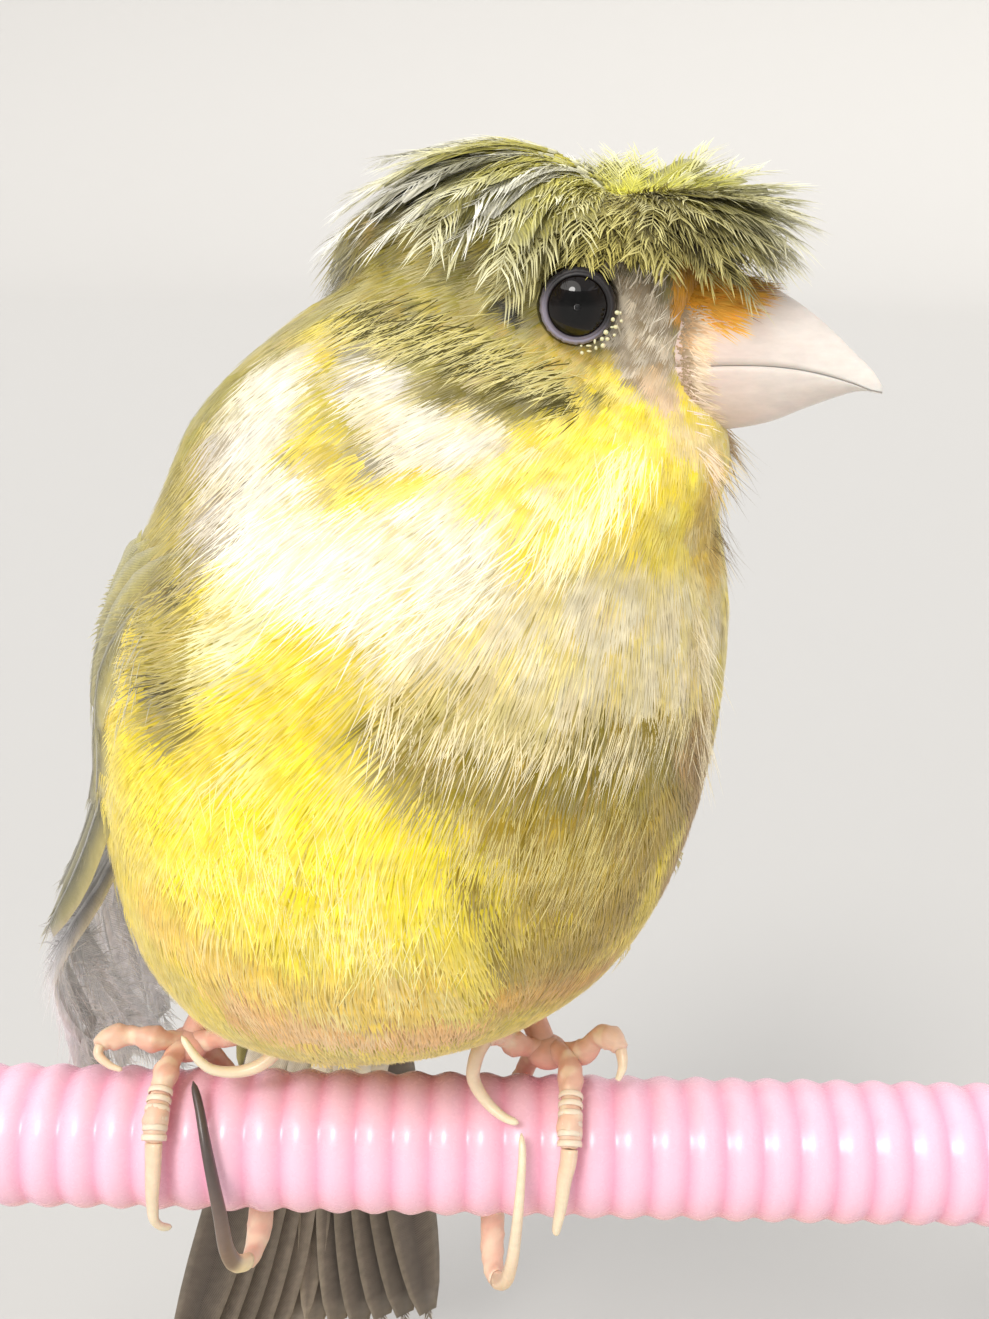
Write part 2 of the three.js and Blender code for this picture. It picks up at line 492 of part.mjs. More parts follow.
// Feet: each toe is swept round the perch with its claw, and the claw is parted from it by a thin cut.
// Places are [x, angle round the perch, distance from its axis] from the pad outwards; side mirrors x.
const feet = [
  {
    side: "right", pad: [-23.9, -17, 7.5], leg: [[-22.6, -28, 10.5], [-20.6, -30, 14.5], [-19, -31, 19]],
    digits: {
      middle: { cut: 0.52, path: [[-24.3, -14, 7.4], [-24.8, 8, 7.3], [-25, 32, 7], [-25, 55, 7], [-25, 74, 6.8], [-25.2, 100, 6.7], [-25.2, 116, 7], [-24.6, 126, 7.2], [-23.6, 134, 6.9]] },
      outer: { cut: 0.56, path: [[-24.2, -16, 7.5], [-26.2, -4, 8.6], [-28.2, -5, 8.8], [-29.9, -2, 8.6], [-30.5, 5, 8], [-29.7, 8, 7.3], [-28.2, 9, 6.9], [-26.8, 12, 6.8]] },
      inner: { cut: 0.44, path: [[-23.5, -17, 7.6], [-20.8, -10, 8.6], [-17.6, -5, 10.3], [-15.4, 5, 11], [-16, 14, 10.2], [-17.2, 20, 9.6], [-18.8, 23, 9.4], [-20.6, 24, 9.8], [-21.7, 22, 10.5], [-22.5, 19, 11.4], [-23.1, 16, 11.9]] },
      hind: { cut: 0.56, path: [[-23.8, -28, 7.3], [-22.2, -70, 7], [-20.4, -110, 7], [-18.9, -146, 7.5], [-18.4, -172, 8.7], [-18.6, 168, 9.8], [-19.2, 148, 9.4], [-19.6, 126, 8.6], [-19.9, 104, 7.5], [-20.4, 83, 6.9], [-21, 62, 6.7], [-21.8, 37, 6.8], [-22.6, 19, 7.2]] },
    },
  },
  {
    side: "left", pad: [4.9, -17, 7.5], leg: [[3.4, -28, 10.5], [1.4, -30, 14.5], [-0.4, -31, 19]],
    digits: {
      middle: { cut: 0.56, path: [[5.4, -14, 7.5], [6.4, -2, 7.7], [6.6, 16, 7.2], [6.5, 37, 7], [6.4, 61, 7], [6.1, 76, 6.7], [5.9, 97, 6.7], [5.7, 112, 7], [5.6, 126, 7.5]] },
      outer: { cut: 0.66, path: [[5.2, -18, 7.5], [7.6, -8, 8], [8.6, -6, 9.2], [9.6, -3, 9.7], [10.4, 2, 9.3], [10.5, 11, 8.5], [10, 21, 7.6], [9.3, 27, 7]] },
      inner: { cut: 0.46, path: [[4.4, -17, 7.6], [2.2, -8, 8.6], [0.6, 0, 10.2], [-0.4, 8, 10], [-0.9, 14, 9], [-0.9, 18, 7.8], [0.1, 28, 7], [1.4, 37, 6.8], [2.6, 41, 6.8]] },
      hind: { cut: 0.6, path: [[4.6, -28, 7.3], [3.2, -70, 7], [1.8, -110, 7], [1, -146, 7.6], [0.8, -172, 9.4], [1, 168, 10.9], [1.8, 150, 10.3], [2.3, 127, 9], [2.6, 104, 7.6], [2.8, 80, 6.9], [2.9, 60, 6.8], [2.8, 47, 6.8]] },
    },
  },
];
const toeRadius = 0.9;
const clawRadius = 0.62;

function makeFoot(foot) {
  const place = ([x, angle, out]) => roundPerch(x, angle, out);
  const perchGrown = perchSolid(gap);
  const toes = [];
  const claws = [];
  for (const [digit, { cut, path }] of Object.entries(foot.digits)) {
    const points = path.map(place);
    const curve = new THREE.CatmullRomCurve3(points);
    const steps = digit === "hind" ? 22 : 14;
    const radius = (t) =>
      t < cut
        ? toeRadius * (1 + 0.12 * Math.cos((t / cut) * 2 * Math.PI * 2.5))
        : lerp(clawRadius, 0.22, ((t - cut) / (1 - cut)) ** 2.5);
    const whole = sweep(points, radius, 6, steps);
    const tangent = curve.getTangentAt(cut);
    const knife = new THREE.BoxGeometry(4, 4, gap)
      .applyQuaternion(new THREE.Quaternion().setFromUnitVectors(vec(0, 0, 1), tangent))
      .translate(...curve.getPointAt(cut).toArray());
    const parts = whole.subtract(solidOf(knife)).decompose().sort((a, b) => b.volume() - a.volume()).slice(0, 2);
    const tip = points[points.length - 1];
    const near = (solid) => {
      const box = solid.boundingBox();
      return new THREE.Box3(vec(...box.min), vec(...box.max)).distanceToPoint(tip);
    };
    parts.sort((a, b) => near(b) - near(a));
    toes.push(parts[0]);
    claws.push([`claw_${foot.side}_${digit}`, parts[1]]);
  }
  const padCentre = place(foot.pad);
  const pad = ellipsoid(padCentre, [vec(1.8, 0, 0), vec(0, 1.9, 0), vec(0, 0, 1.3)], 8, 6);
  const legPoints = [padCentre, ...foot.leg.map(place)];
  const leg = sweep(legPoints, (t) => lerp(0.95, 1.5, t), 8, 6);
  const keepOut = joined([leaned(bodyGrown), perchGrown]);
  const whole = joined([pad, leg, ...toes]).subtract(keepOut);
  const legCurve = new THREE.CatmullRomCurve3(legPoints);
  const ankle = legCurve.getPointAt(0.2);
  const knife = new THREE.BoxGeometry(5, 5, gap)
    .applyQuaternion(new THREE.Quaternion().setFromUnitVectors(vec(0, 0, 1), legCurve.getTangentAt(0.2)))
    .translate(...ankle.toArray());
  const parts = whole.subtract(solidOf(knife)).decompose().sort((a, b) => a.volume() - b.volume()).slice(-2);
  add(`leg_${foot.side}`, parts[0], colours.leg, 0.6);
  add(`foot_${foot.side}`, parts[1], colours.leg, 0.6);
  const taken = joined([parts[1], parts[0]]);
  for (const [name, claw] of claws) add(name, largest(claw.subtract(keepOut).subtract(taken)), colours.pale, 0.4);
}

makeStand();
makeHead();
makeBill();
const bedded = body.subtract(joined(wings.map((wing) => wingPad(wing, 1 + gap, -0.4, 3.2 + gap))));
const flank = bodySolid(gap + 0.25, 24, 18).subtract(joined(wings.map((wing) => wingPad(wing, 1, -0.4, 3.2))));
addLeaned("neck", largest(bedded.intersect(between(neckCut + gap / 2, headCut - gap / 2))), colours.pale, plumage);
addLeaned("torso", largest(bedded.intersect(between(0, neckCut - gap / 2))), colours.yellow, plumage);
const wingSolids = wings.map((wing) => makeWing(wing, flank));
wings.forEach((wing, i) => addLeaned(wing.name, wingSolids[i], colours.slate, plumage));
addLeaned("tail", makeTail(wingSolids), colours.slate, plumage);
feet.forEach((foot) => makeFoot(foot));

const canary = new THREE.Group();
for (const { name, solid, colour, roughness } of nodes) {
  const material = new THREE.MeshStandardMaterial({ color: colour, roughness, metalness: 0 });
  const mesh = new THREE.Mesh(geometryOf(solid), material);
  mesh.name = name;
  canary.add(mesh);
}

export default canary;
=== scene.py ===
# The looks of a crested canary, life size, on a short cut length of ribbed perch and a plain stand.
# Lengths are in millimetres in the dictionaries and arrays, and become metres when a mesh is made.
import itertools
import math

import bmesh
import bpy
import numpy as np
from mathutils import Matrix, Vector
from mathutils.bvhtree import BVHTree


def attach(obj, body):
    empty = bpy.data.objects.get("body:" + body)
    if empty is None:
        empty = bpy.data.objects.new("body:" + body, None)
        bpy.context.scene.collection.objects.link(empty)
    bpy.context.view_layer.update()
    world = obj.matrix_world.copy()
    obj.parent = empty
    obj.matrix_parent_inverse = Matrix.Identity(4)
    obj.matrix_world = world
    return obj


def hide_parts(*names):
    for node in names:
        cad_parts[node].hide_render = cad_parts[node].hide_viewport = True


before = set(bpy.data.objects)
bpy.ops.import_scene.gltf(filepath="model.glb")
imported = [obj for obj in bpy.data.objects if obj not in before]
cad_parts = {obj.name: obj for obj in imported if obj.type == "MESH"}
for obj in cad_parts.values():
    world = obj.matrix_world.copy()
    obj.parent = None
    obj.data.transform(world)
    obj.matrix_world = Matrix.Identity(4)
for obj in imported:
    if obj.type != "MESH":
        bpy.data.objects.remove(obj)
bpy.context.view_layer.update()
mm = 0.001

# Small helpers for colours, vectors and meshes


def linear(hexColour):
    # sRGB hex to a linear RGBA tuple
    parts = [int(hexColour[i:i + 2], 16) / 255 for i in (1, 3, 5)]
    return tuple(p / 12.92 if p <= 0.04045 else ((p + 0.055) / 1.055) ** 2.4 for p in parts) + (1.0,)


def rgb(hexColour):
    return np.array(linear(hexColour)[:3])


def unit(v):
    return v / np.maximum(np.linalg.norm(v, axis=-1, keepdims=True), 1e-9)


def smooth(low, high, v):
    t = np.clip((v - low) / (high - low), 0, 1)
    return t * t * (3 - 2 * t)


def mixed(a, b, share):
    return a + (b - a) * share


def softNoise(points, size, seed):
    # A smooth wavy field between about -1 and 1, from a few turned sine waves
    rng = np.random.default_rng(seed)
    total = np.zeros(len(points))
    for octave in range(5):
        direction = unit(rng.normal(size=3))
        wave = points @ direction * (2 * math.pi / size) * (0.7 + 0.25 * octave)
        total += np.sin(wave + rng.uniform(0, 6.3))
    return total / 2.6


def newObject(name, data):
    made = bpy.data.objects.new(name, data)
    bpy.context.scene.collection.objects.link(made)
    return made


def writePlume(mesh, colours):
    # Linear colours as the attribute "plume", one for each vertex or one for them all
    layer = mesh.color_attributes.new("plume", "FLOAT_COLOR", "POINT")
    full = np.ones((len(mesh.vertices), 4), np.float32)
    full[:, :3] = np.clip(colours, 0, 1)
    layer.data.foreach_set("color", full.ravel())


def writeVectors(mesh, name, vectors):
    layer = mesh.attributes.new(name, "FLOAT_VECTOR", "POINT")
    layer.data.foreach_set("vector", np.asarray(vectors, np.float32).ravel())


def vertexRows(mesh, key):
    rows = np.empty(len(mesh.vertices) * 3)
    mesh.vertices.foreach_get(key, rows)
    return rows.reshape(-1, 3)


def triangleCorners(mesh):
    mesh.calc_loop_triangles()
    corners = np.empty(len(mesh.loop_triangles) * 3, np.int32)
    mesh.loop_triangles.foreach_get("vertices", corners)
    return corners.reshape(-1, 3)


def joined(parts):
    # Points, faces and any further rows of several forms as one
    offsets = np.cumsum([0] + [len(part[0]) for part in parts[:-1]])
    faces = np.concatenate([part[1] + offset for part, offset in zip(parts, offsets)])
    further = [np.concatenate(rows) for rows in list(zip(*parts))[2:]]
    return np.concatenate([part[0] for part in parts]), faces, *further


def fan(middle, ring, turned=False):
    # Triangles from a middle vertex to a ring
    after = np.roll(ring, -1)
    return np.stack([0 * ring + middle, *((after, ring) if turned else (ring, after))], -1)


def makePiece(name, points, faces, material, colours=None, smoothFaces=True, normals=None):
    mesh = bpy.data.meshes.new(name)
    mesh.from_pydata(np.asarray(points, float) * mm, [], np.asarray(faces, int))
    if colours is not None:
        writePlume(mesh, colours)
    mesh.polygons.foreach_set("use_smooth", np.full(len(mesh.polygons), smoothFaces))
    if normals is not None:
        writeVectors(mesh, "custom_normal", normals)
    mesh.materials.append(material)
    return newObject(name, mesh)


def writeMap(piece, name, places):
    # One UV place for each vertex
    mesh = piece.data
    layer = mesh.uv_layers.new(name=name)
    corners = np.empty(len(mesh.loops), np.int32)
    mesh.loops.foreach_get("vertex_index", corners)
    layer.uv.foreach_set("vector", np.asarray(places, np.float32)[corners].ravel())


def settle(piece, slot, *nodes):
    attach(piece, "root")
    if nodes:
        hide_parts(*nodes)


def evaluated(piece):
    # Applies the live modifiers into a plain mesh
    graph = bpy.context.evaluated_depsgraph_get()
    made = bpy.data.meshes.new_from_object(piece.evaluated_get(graph))
    piece.modifiers.clear()
    old = piece.data
    piece.data = made
    bpy.data.meshes.remove(old)
    return piece


def addNode(tree, kind, links=None, **settings):
    # links maps an input's name or number to a value or to another node's output
    made = tree.nodes.new(kind)
    for key, value in settings.items():
        setattr(made, key, value)
    for key, value in (links or {}).items():
        if isinstance(value, bpy.types.NodeSocket):
            tree.links.new(value, made.inputs[key])
        else:
            made.inputs[key].default_value = value
    return made


def newMaterial(name, **constants):
    material = bpy.data.materials.new(name)
    material.use_nodes = True
    shader = material.node_tree.nodes["Principled BSDF"]
    for key, value in constants.items():
        shader.inputs[key.replace("_", " ")].default_value = value
    return material, material.node_tree, shader


def noiseAt(tree, size, detail, stretch=None, **more):
    # Noise in the object's own place, with features of about this size in mm
    place = addNode(tree, "ShaderNodeTexCoord").outputs["Object"]
    if stretch:
        place = addNode(tree, "ShaderNodeMapping", {"Vector": place, "Scale": stretch}).outputs["Vector"]
    links = {"Vector": place, "Scale": 1 / (size * mm), "Detail": detail, **more}
    return addNode(tree, "ShaderNodeTexNoise", links).outputs["Fac"]


def spanned(tree, value, low, high, between=(0.3, 0.7)):
    links = {"Value": value, "From Min": between[0], "From Max": between[1], "To Min": low, "To Max": high}
    return addNode(tree, "ShaderNodeMapRange", links).outputs["Result"]


def maths(tree, operation, *values):
    return addNode(tree, "ShaderNodeMath", dict(enumerate(values)), operation=operation).outputs[0]


def tintPlume(tree, shader, factor):
    # The painted colour, made lighter or darker by a factor
    plume = addNode(tree, "ShaderNodeAttribute", attribute_name="plume").outputs["Color"]
    tinted = addNode(tree, "ShaderNodeVectorMath", {0: plume, "Scale": factor}, operation="SCALE")
    tree.links.new(tinted.outputs["Vector"], shader.inputs["Base Color"])


def addBump(tree, shader, height, strength, depth):
    bump = addNode(tree, "ShaderNodeBump", {"Height": height, "Strength": strength, "Distance": depth * mm})
    tree.links.new(bump.outputs["Normal"], shader.inputs["Normal"])


# The bird's form: level sections above the perch's axis, as in the solids.
# Each has its level, middle, half length, half width, heading and taper towards the bill.
birdForm = {
    "perchHeight": 63,
    "sections": [
        (7.4, -9, 5.5, 0, 0, 20, 0), (9.5, -9, 5, 7.5, 10, 20, 0), (13, -8.6, 4, 12.8, 15.3, 20, 0),
        (19, -8, 2.6, 18, 19, 20, 0), (27, -7.2, 1, 21.4, 21, 20, 0), (36, -6.2, -0.5, 22.2, 21.8, 20, 0),
        (45, -5, -2.5, 20.4, 21.3, 20, 0), (52, -3.6, -3.8, 18.5, 19.2, 35, 0.03),
        (57, -2.7, -4.4, 18.4, 15.4, 60, 0.12), (61, -1.8, -5.2, 16.1, 11.4, 74, 0.26),
        (65, 0.4, -5.9, 13.7, 8.5, 75, 0.3), (68.4, 2.6, -6.4, 10.8, 7.4, 75, 0.3),
        (71, 3, -6.5, 7.6, 5.4, 75, 0.2), (72.4, 3, -6.5, 0, 0, 75, 0),
    ],
    "headMiddle": (4, -6.8), "headHeading": 75, "bodyHeading": 20,
    "leanDegrees": 1.2, "leanLevel": 40,
    "rump": {"at": (-13, 12.6, 19), "half": (12.6, 16, 9.6), "slope": 72},
}
perchHeight = birdForm["perchHeight"]


def headingOf(degrees):
    a = np.radians(degrees)
    return np.stack([np.sin(a), -np.cos(a), np.zeros_like(a)], -1)


def leftOf(degrees):
    a = np.radians(degrees)
    return np.stack([np.cos(a), np.sin(a), np.zeros_like(a)], -1)


forward = headingOf(np.float64(birdForm["headHeading"]))
headRight = -leftOf(np.float64(birdForm["headHeading"]))
upward = np.array([0.0, 0.0, 1.0])


def sectionAt(level):
    table = np.array(birdForm["sections"], float)
    z = table[:, 0]
    last = len(z) - 1
    level = np.clip(level, z[0], z[last])
    i = np.clip(np.searchsorted(z, level), 1, last)
    a, b, before, after = i - 1, i, np.maximum(0, i - 2), np.minimum(last, i + 1)
    t = (level - z[a]) / (z[b] - z[a])
    span = z[b] - z[a]

    def eased(column, power):
        v = table[:, column] ** power
        slope = lambda p, q: (v[q] - v[p]) / np.maximum(1e-6, z[q] - z[p])
        m0 = np.where(i == 1, slope(a, b), slope(before, b)) * span
        m1 = np.where(i == last, slope(a, b), slope(a, after)) * span
        made = (2 * t**3 - 3 * t**2 + 1) * v[a] + (t**3 - 2 * t**2 + t) * m0
        made = made + (3 * t**2 - 2 * t**3) * v[b] + (t**3 - t**2) * m1
        return np.sqrt(np.maximum(0, made)) if power == 2 else made

    return [eased(1, 1), eased(2, 1), eased(3, 2), eased(4, 2), eased(5, 1), eased(6, 1)]


def onBody(level, turn, out=0.0):
    # A place at a level and a turn round it: 0 ahead, 90 its left, -90 its right, 180 its back
    level, turn, out = np.broadcast_arrays(np.asarray(level, float), np.asarray(turn, float), out)
    x, y, along, across, heading, taper = sectionAt(level)
    a = np.radians(turn)
    place = np.stack([x, y, perchHeight + level], -1)
    place = place + headingOf(heading) * (np.cos(a) * (along + out))[..., None]
    side = np.sin(a) * (across * (1 - taper * np.cos(a)) + out)
    return place + leftOf(heading) * side[..., None]


def leaned(points):
    a = -math.radians(birdForm["leanDegrees"])
    points = np.array(points, float)
    z = points[..., 2] - perchHeight - birdForm["leanLevel"]
    x = points[..., 0].copy()
    points[..., 0] = x * math.cos(a) + z * math.sin(a)
    points[..., 2] = z * math.cos(a) - x * math.sin(a) + perchHeight + birdForm["leanLevel"]
    return points


def onHead(ahead, right, level):
    # A place on the head before the lean, by mm ahead of its middle, to its right and above the perch's axis
    ahead, right, level = np.broadcast_arrays(np.asarray(ahead, float), right, level)
    middle = np.array([*birdForm["headMiddle"], perchHeight])
    place = middle + forward * ahead[..., None] + headRight * right[..., None]
    return place + upward * level[..., None]


headCentre = leaned(onHead(0.0, 0.0, 60.0))
billRoot = leaned(onHead(10.0, 0.0, 64.0))


def acrossHead(v):
    # What takes a way, or an offset from the head's centre, to the head's other side
    return 2 * (v @ headRight) * headRight


def ellipsoidMesh(centre, axes, around=48, along=32):
    t = np.linspace(0, math.pi, along + 1)[:, None]
    a = np.linspace(0, 2 * math.pi, around, endpoint=False)[None, :]
    unitBall = np.stack([np.sin(t) * np.cos(a), np.sin(t) * np.sin(a), np.cos(t) + 0 * a], -1).reshape(-1,
                                                                                                       3)
    return centre + unitBall @ np.array(axes), gridFaces(along + 1, around)


def gridFaces(rows, around, offset=0):
    # Quads as triangles between rings, wrapping round
    r, c = np.meshgrid(np.arange(rows - 1), np.arange(around), indexing="ij")
    n = (c + 1) % around
    a, b, d, e = r * around + c, r * around + n, (r + 1) * around + n, (r + 1) * around + c
    quads = np.stack([a, e, d, b], -1).reshape(-1, 4) + offset
    return np.concatenate([quads[:, [0, 1, 2]], quads[:, [0, 2, 3]]])


def trunkMesh(grow, around=96, along=120):
    table = birdForm["sections"]
    low, high = table[0][0], table[-1][0]
    share = (1 - np.cos(np.linspace(0, math.pi, along + 1))) / 2
    inner = mixed(high, low, share)
    level = mixed(high + grow, low - grow, share)
    turn = np.linspace(0, 360, around, endpoint=False)
    outs = np.full(along + 1, grow, float)
    outs[[0, -1]] = 0
    place = onBody(inner[:, None], turn[None, :], outs[:, None])
    place[..., 2] = perchHeight + level[:, None]
    return place.reshape(-1, 3), gridFaces(along + 1, around)


def rumpMesh(grow):
    rump = birdForm["rump"]
    slope = math.radians(rump["slope"])
    bodyHeading = np.float64(birdForm["bodyHeading"])
    down = -headingOf(bodyHeading) * math.cos(slope) - upward * math.sin(slope)
    side = leftOf(bodyHeading)
    back = np.cross(side, down)
    half = [h + grow for h in rump["half"]]
    centre = np.array(rump["at"]) + upward * perchHeight
    return ellipsoidMesh(centre, [side * half[0], down * half[1], back * half[2]])


# Camera, and where a pixel of the picture falls on the bird
cameraSetting = {
    "place": (0, -99, 136), "pitch": 18, "roll": 1.2, "focalPixels": 1454, "picture": (989, 1319),
    "sensor": 36,
}


def makeCamera():
    s = cameraSetting
    data = bpy.data.cameras.new("camera")
    data.sensor_width = s["sensor"]
    data.lens = s["focalPixels"] / s["picture"][1] * s["sensor"]
    data.clip_start = 0.005
    camera = newObject("camera", data)
    tilted = Matrix.Rotation(math.radians(90 - s["pitch"]), 4, "X")
    rolled = Matrix.Rotation(math.radians(s["roll"]), 4, "Z")
    camera.matrix_world = Matrix.Translation(Vector(s["place"]) * mm) @ tilted @ rolled
    bpy.context.scene.camera = camera
    return camera


camera = makeCamera()
turnedBack = np.array(camera.matrix_world.to_3x3())
viewAxes = (turnedBack[:, 0], turnedBack[:, 1], -turnedBack[:, 2])  # right, up and along the view


def cameraRay(px, py):
    s = cameraSetting
    right, up, along = viewAxes
    ray = along + right * ((px - s["picture"][0] / 2) / s["focalPixels"])
    return ray - up * ((py - s["picture"][1] / 2) / s["focalPixels"])


def treeOf(points, faces):
    return BVHTree.FromPolygons([Vector(p) for p in points], [tuple(f) for f in faces.tolist()])


def seen(px, py, form=None):
    # The place on the bird's outside, or on another form, that a pixel shows, with its normal, or None
    hit = (form or outside).ray_cast(Vector(cameraSetting["place"]), Vector(cameraRay(px, py)))
    return (np.array(hit[0]), np.array(hit[1])) if hit[0] is not None else None


def around(turn, level):
    # The place on the bird's outside at a turn and a level, also where the picture doesn't show it
    far = leaned(onBody(level, turn, 40.0))
    near = leaned(onBody(level, turn, -2.0))
    hit = outside.ray_cast(Vector(far), Vector(near - far))
    return np.array(hit[0]) if hit[0] is not None else leaned(onBody(level, turn, 0.0))


outsidePoints, outsideFaces = joined([trunkMesh(0), rumpMesh(0)])
outside = treeOf(leaned(outsidePoints), outsideFaces)
print("form ready")


def mark(wide, soft, plain, fleck, share, **places):
    return {"wide": wide, "soft": soft, "colours": (plain, fleck, share), **places}


# Plumage markings, painted one over another: half width in mm, width of the edge, main and fleck
# colour, and the share of feathers that takes the fleck colour. "seen" gives pixels of the picture,
# "around" gives (turn, level) places and "head" places on the head.
groundColour = ("#F8E03A", "#FAEC7E", 0.15)
plumageMarks = {
    "back": mark(17, 6, "#9A9150", "#5F5A3A", 0.35, around=[(180, 62), (180, 48), (180, 34), (178, 20)]),
    "rumpYellow": mark(8, 5, "#D9CB58", "#F0E7A8", 0.3, around=[(180, 12), (170, 8)]),
    "leftSide": mark(9, 5, "#A8974A", "#6E6438", 0.25, around=[(80, 50), (86, 40), (80, 30)]),
    "backHead": mark(6, 4, "#9B9546", "#6A6642", 0.3, around=[(180, 64), (180, 58), (150, 60), (-150, 60)]),
    "crown": mark(6.5, 2.5, "#6E682E", "#4E4822", 0.4, head=[(8, 0, 70), (0, 0, 72), (-8, 0, 70)]),
    "farCheek": mark(6, 3, "#8F8A36", "#B9B48C", 0.25, around=[(40, 66), (80, 64), (110, 60)]),
    "farThroat": mark(8, 4, "#F2DC58", "#FBF4CF", 0.35, around=[(30, 52), (70, 50)]),
    "cheek": mark(4.2, 1.5, "#878032", "#C6BE80", 0.25,
        seen=[(350, 320), (440, 320), (520, 345), (600, 385)]),
    "cheekGold": mark(1.5, 1.2, "#C7A92E", "#8E8734", 0.3, seen=[(555, 355), (590, 370)]),
    "cheekGrey": mark(1.7, 1.2, "#8D8874", "#D8D4C0", 0.35, seen=[(345, 350), (360, 400), (372, 440)]),
    "napeGold": mark(1.7, 1.4, "#DCC944", "#A69B3A", 0.35,
        seen=[(312, 340), (300, 385), (305, 430), (318, 470)]),
    "napeWhite": mark(2.9, 1.4, "#EFEBE0", "#DDD4A6", 0.3,
        seen=[(256, 398), (232, 440), (236, 500), (275, 540), (320, 590)]),
    "mantleGrey": mark(1.5, 1.4, "#A39A90", "#E9E4DA", 0.35, seen=[(215, 450), (180, 490), (205, 545)]),
    "cheekWhite": mark(1.9, 1.3, "#ECE8DE", "#D6CFA0", 0.3,
        seen=[(376, 392), (392, 420), (430, 442), (480, 452)]),
    "throat": mark(3.2, 2.2, "#FFE63A", "#FFF08A", 0.25,
        seen=[(640, 415), (600, 450), (565, 490), (640, 500), (690, 520)]),
    "collarYellow": mark(2.6, 2.2, "#F8E25E", "#FDF8DC", 0.45, seen=[(520, 500), (470, 545), (430, 590)]),
    "collarWhite": mark(3.5, 2.0, "#F2EEE0", "#EFE198", 0.35, seen=[(300, 580), (350, 570), (420, 560)]),
    "bib": mark(3.0, 2.4, "#F3E8C2", "#F1D968", 0.4,
        seen=[(420, 640), (500, 650), (590, 630), (670, 640), (705, 650), (640, 700), (540, 690)]),
    "bibGold": mark(1.0, 1.4, "#F8E68C", "#FDF6DA", 0.4, seen=[(480, 655), (560, 665)]),
    "chin": mark(1.2, 1.2, "#F2DCA2", "#F2D670", 0.35, seen=[(690, 440), (712, 452), (716, 480)]),
    "chinGold": mark(1.8, 1.6, "#E9C648", "#F2E2A8", 0.3, seen=[(700, 520), (715, 560)]),
    "band": mark(2.2, 1.6, "#84751E", "#C4AF5C", 0.3,
        seen=[(400, 745), (450, 765), (520, 775), (600, 770), (670, 760)]),
    "lowerBand": mark(3.1, 2.2, "#8F7E1C", "#BFA93C", 0.3,
        seen=[(470, 810), (560, 835), (650, 820), (690, 790)]),
    "bandTips": mark(0.6, 1.2, "#D9CA84", "#A2935A", 0.4, seen=[(430, 700), (480, 725), (540, 735)]),
    # These three marks, on the side away from the light, are the bird's olive-brown and buff painted darker
    # still: partly plumage colour, partly painted shade
    "rightSide": mark(2.2, 2.2, "#B08C48", "#8E7440", 0.35,
        seen=[(700, 740), (700, 800), (680, 860), (650, 920)]),
    "rightBelly": mark(3.4, 2.2, "#A68C1E", "#C9AC38", 0.3,
        seen=[(520, 860), (580, 890), (640, 860), (610, 920), (550, 960)]),
    "rightBottom": mark(1.8, 1.6, "#D9A948", "#E5BC68", 0.3, seen=[(520, 1000), (580, 985), (610, 965)]),
    "belly": mark(4.4, 2.4, "#FFEA2E", "#FFF28A", 0.12,
        seen=[(160, 800), (260, 820), (350, 870), (420, 900), (300, 900), (200, 870)]),
    "bellyGold": mark(2.2, 2.4, "#FBD65A", "#FCEAA0", 0.25,
        seen=[(150, 920), (230, 980), (320, 1010), (420, 1010)]),
    "bellyPink": mark(1.9, 2.2, "#FAC67C", "#FBDCA8", 0.3,
        seen=[(240, 1020), (300, 1040), (370, 1048), (450, 1040)]),
    "flankPale": mark(2.3, 2.0, "#F1EBB6", "#DCCB58", 0.35, seen=[(240, 610), (225, 650), (190, 690)]),
    "flankGold": mark(2.4, 2.0, "#F3DA38", "#F6EFB0", 0.25, seen=[(280, 680), (240, 730), (180, 760)]),
    "shoulder": mark(2.9, 2.0, "#B6A64E", "#776B34", 0.4,
        seen=[(165, 510), (155, 590), (155, 650), (150, 710)]),
    "shoulderSpotHigh": mark(0.5, 0.7, "#57502E", "#3F3A26", 0.4, seen=[(146, 578), (170, 585)]),
    "shoulderSpotLow": mark(0.45, 0.7, "#6B5F34", "#3F3A26", 0.4, seen=[(140, 692), (156, 690)]),
    "lores": mark(1.8, 1.0, "#A08F74", "#E9DEC8", 0.5, seen=[(625, 305), (640, 335), (650, 365)]),
    "loresLow": mark(0.7, 0.9, "#E3C7A0", "#D6B592", 0.3, seen=[(655, 385), (670, 400)]),
    "forehead": mark(1.5, 1.0, "#F0AE38", "#DD9A34", 0.35, seen=[(700, 285), (706, 268), (690, 300)]),
    "behindEye": mark(0.45, 0.6, "#3E3A22", "#2C2A1C", 0.3, seen=[(492, 300), (512, 312)]),
    # Painted shadow: a dark olive line under the lower edge of the cheek feathers
    "underCheekShadow": mark(0.5, 1.3, "#746A2C", "#8A7F36", 0.3,
        seen=[(440, 385), (500, 400), (560, 405), (595, 398)]),
    # Painted shade: a narrow dark line where the yellow of the belly lies over the olive on its right
    "partingShade": mark(0.4, 0.9, "#9C8522", "#84701F", 0.3,
        seen=[(436, 850), (462, 890), (492, 940), (508, 975)]),
}


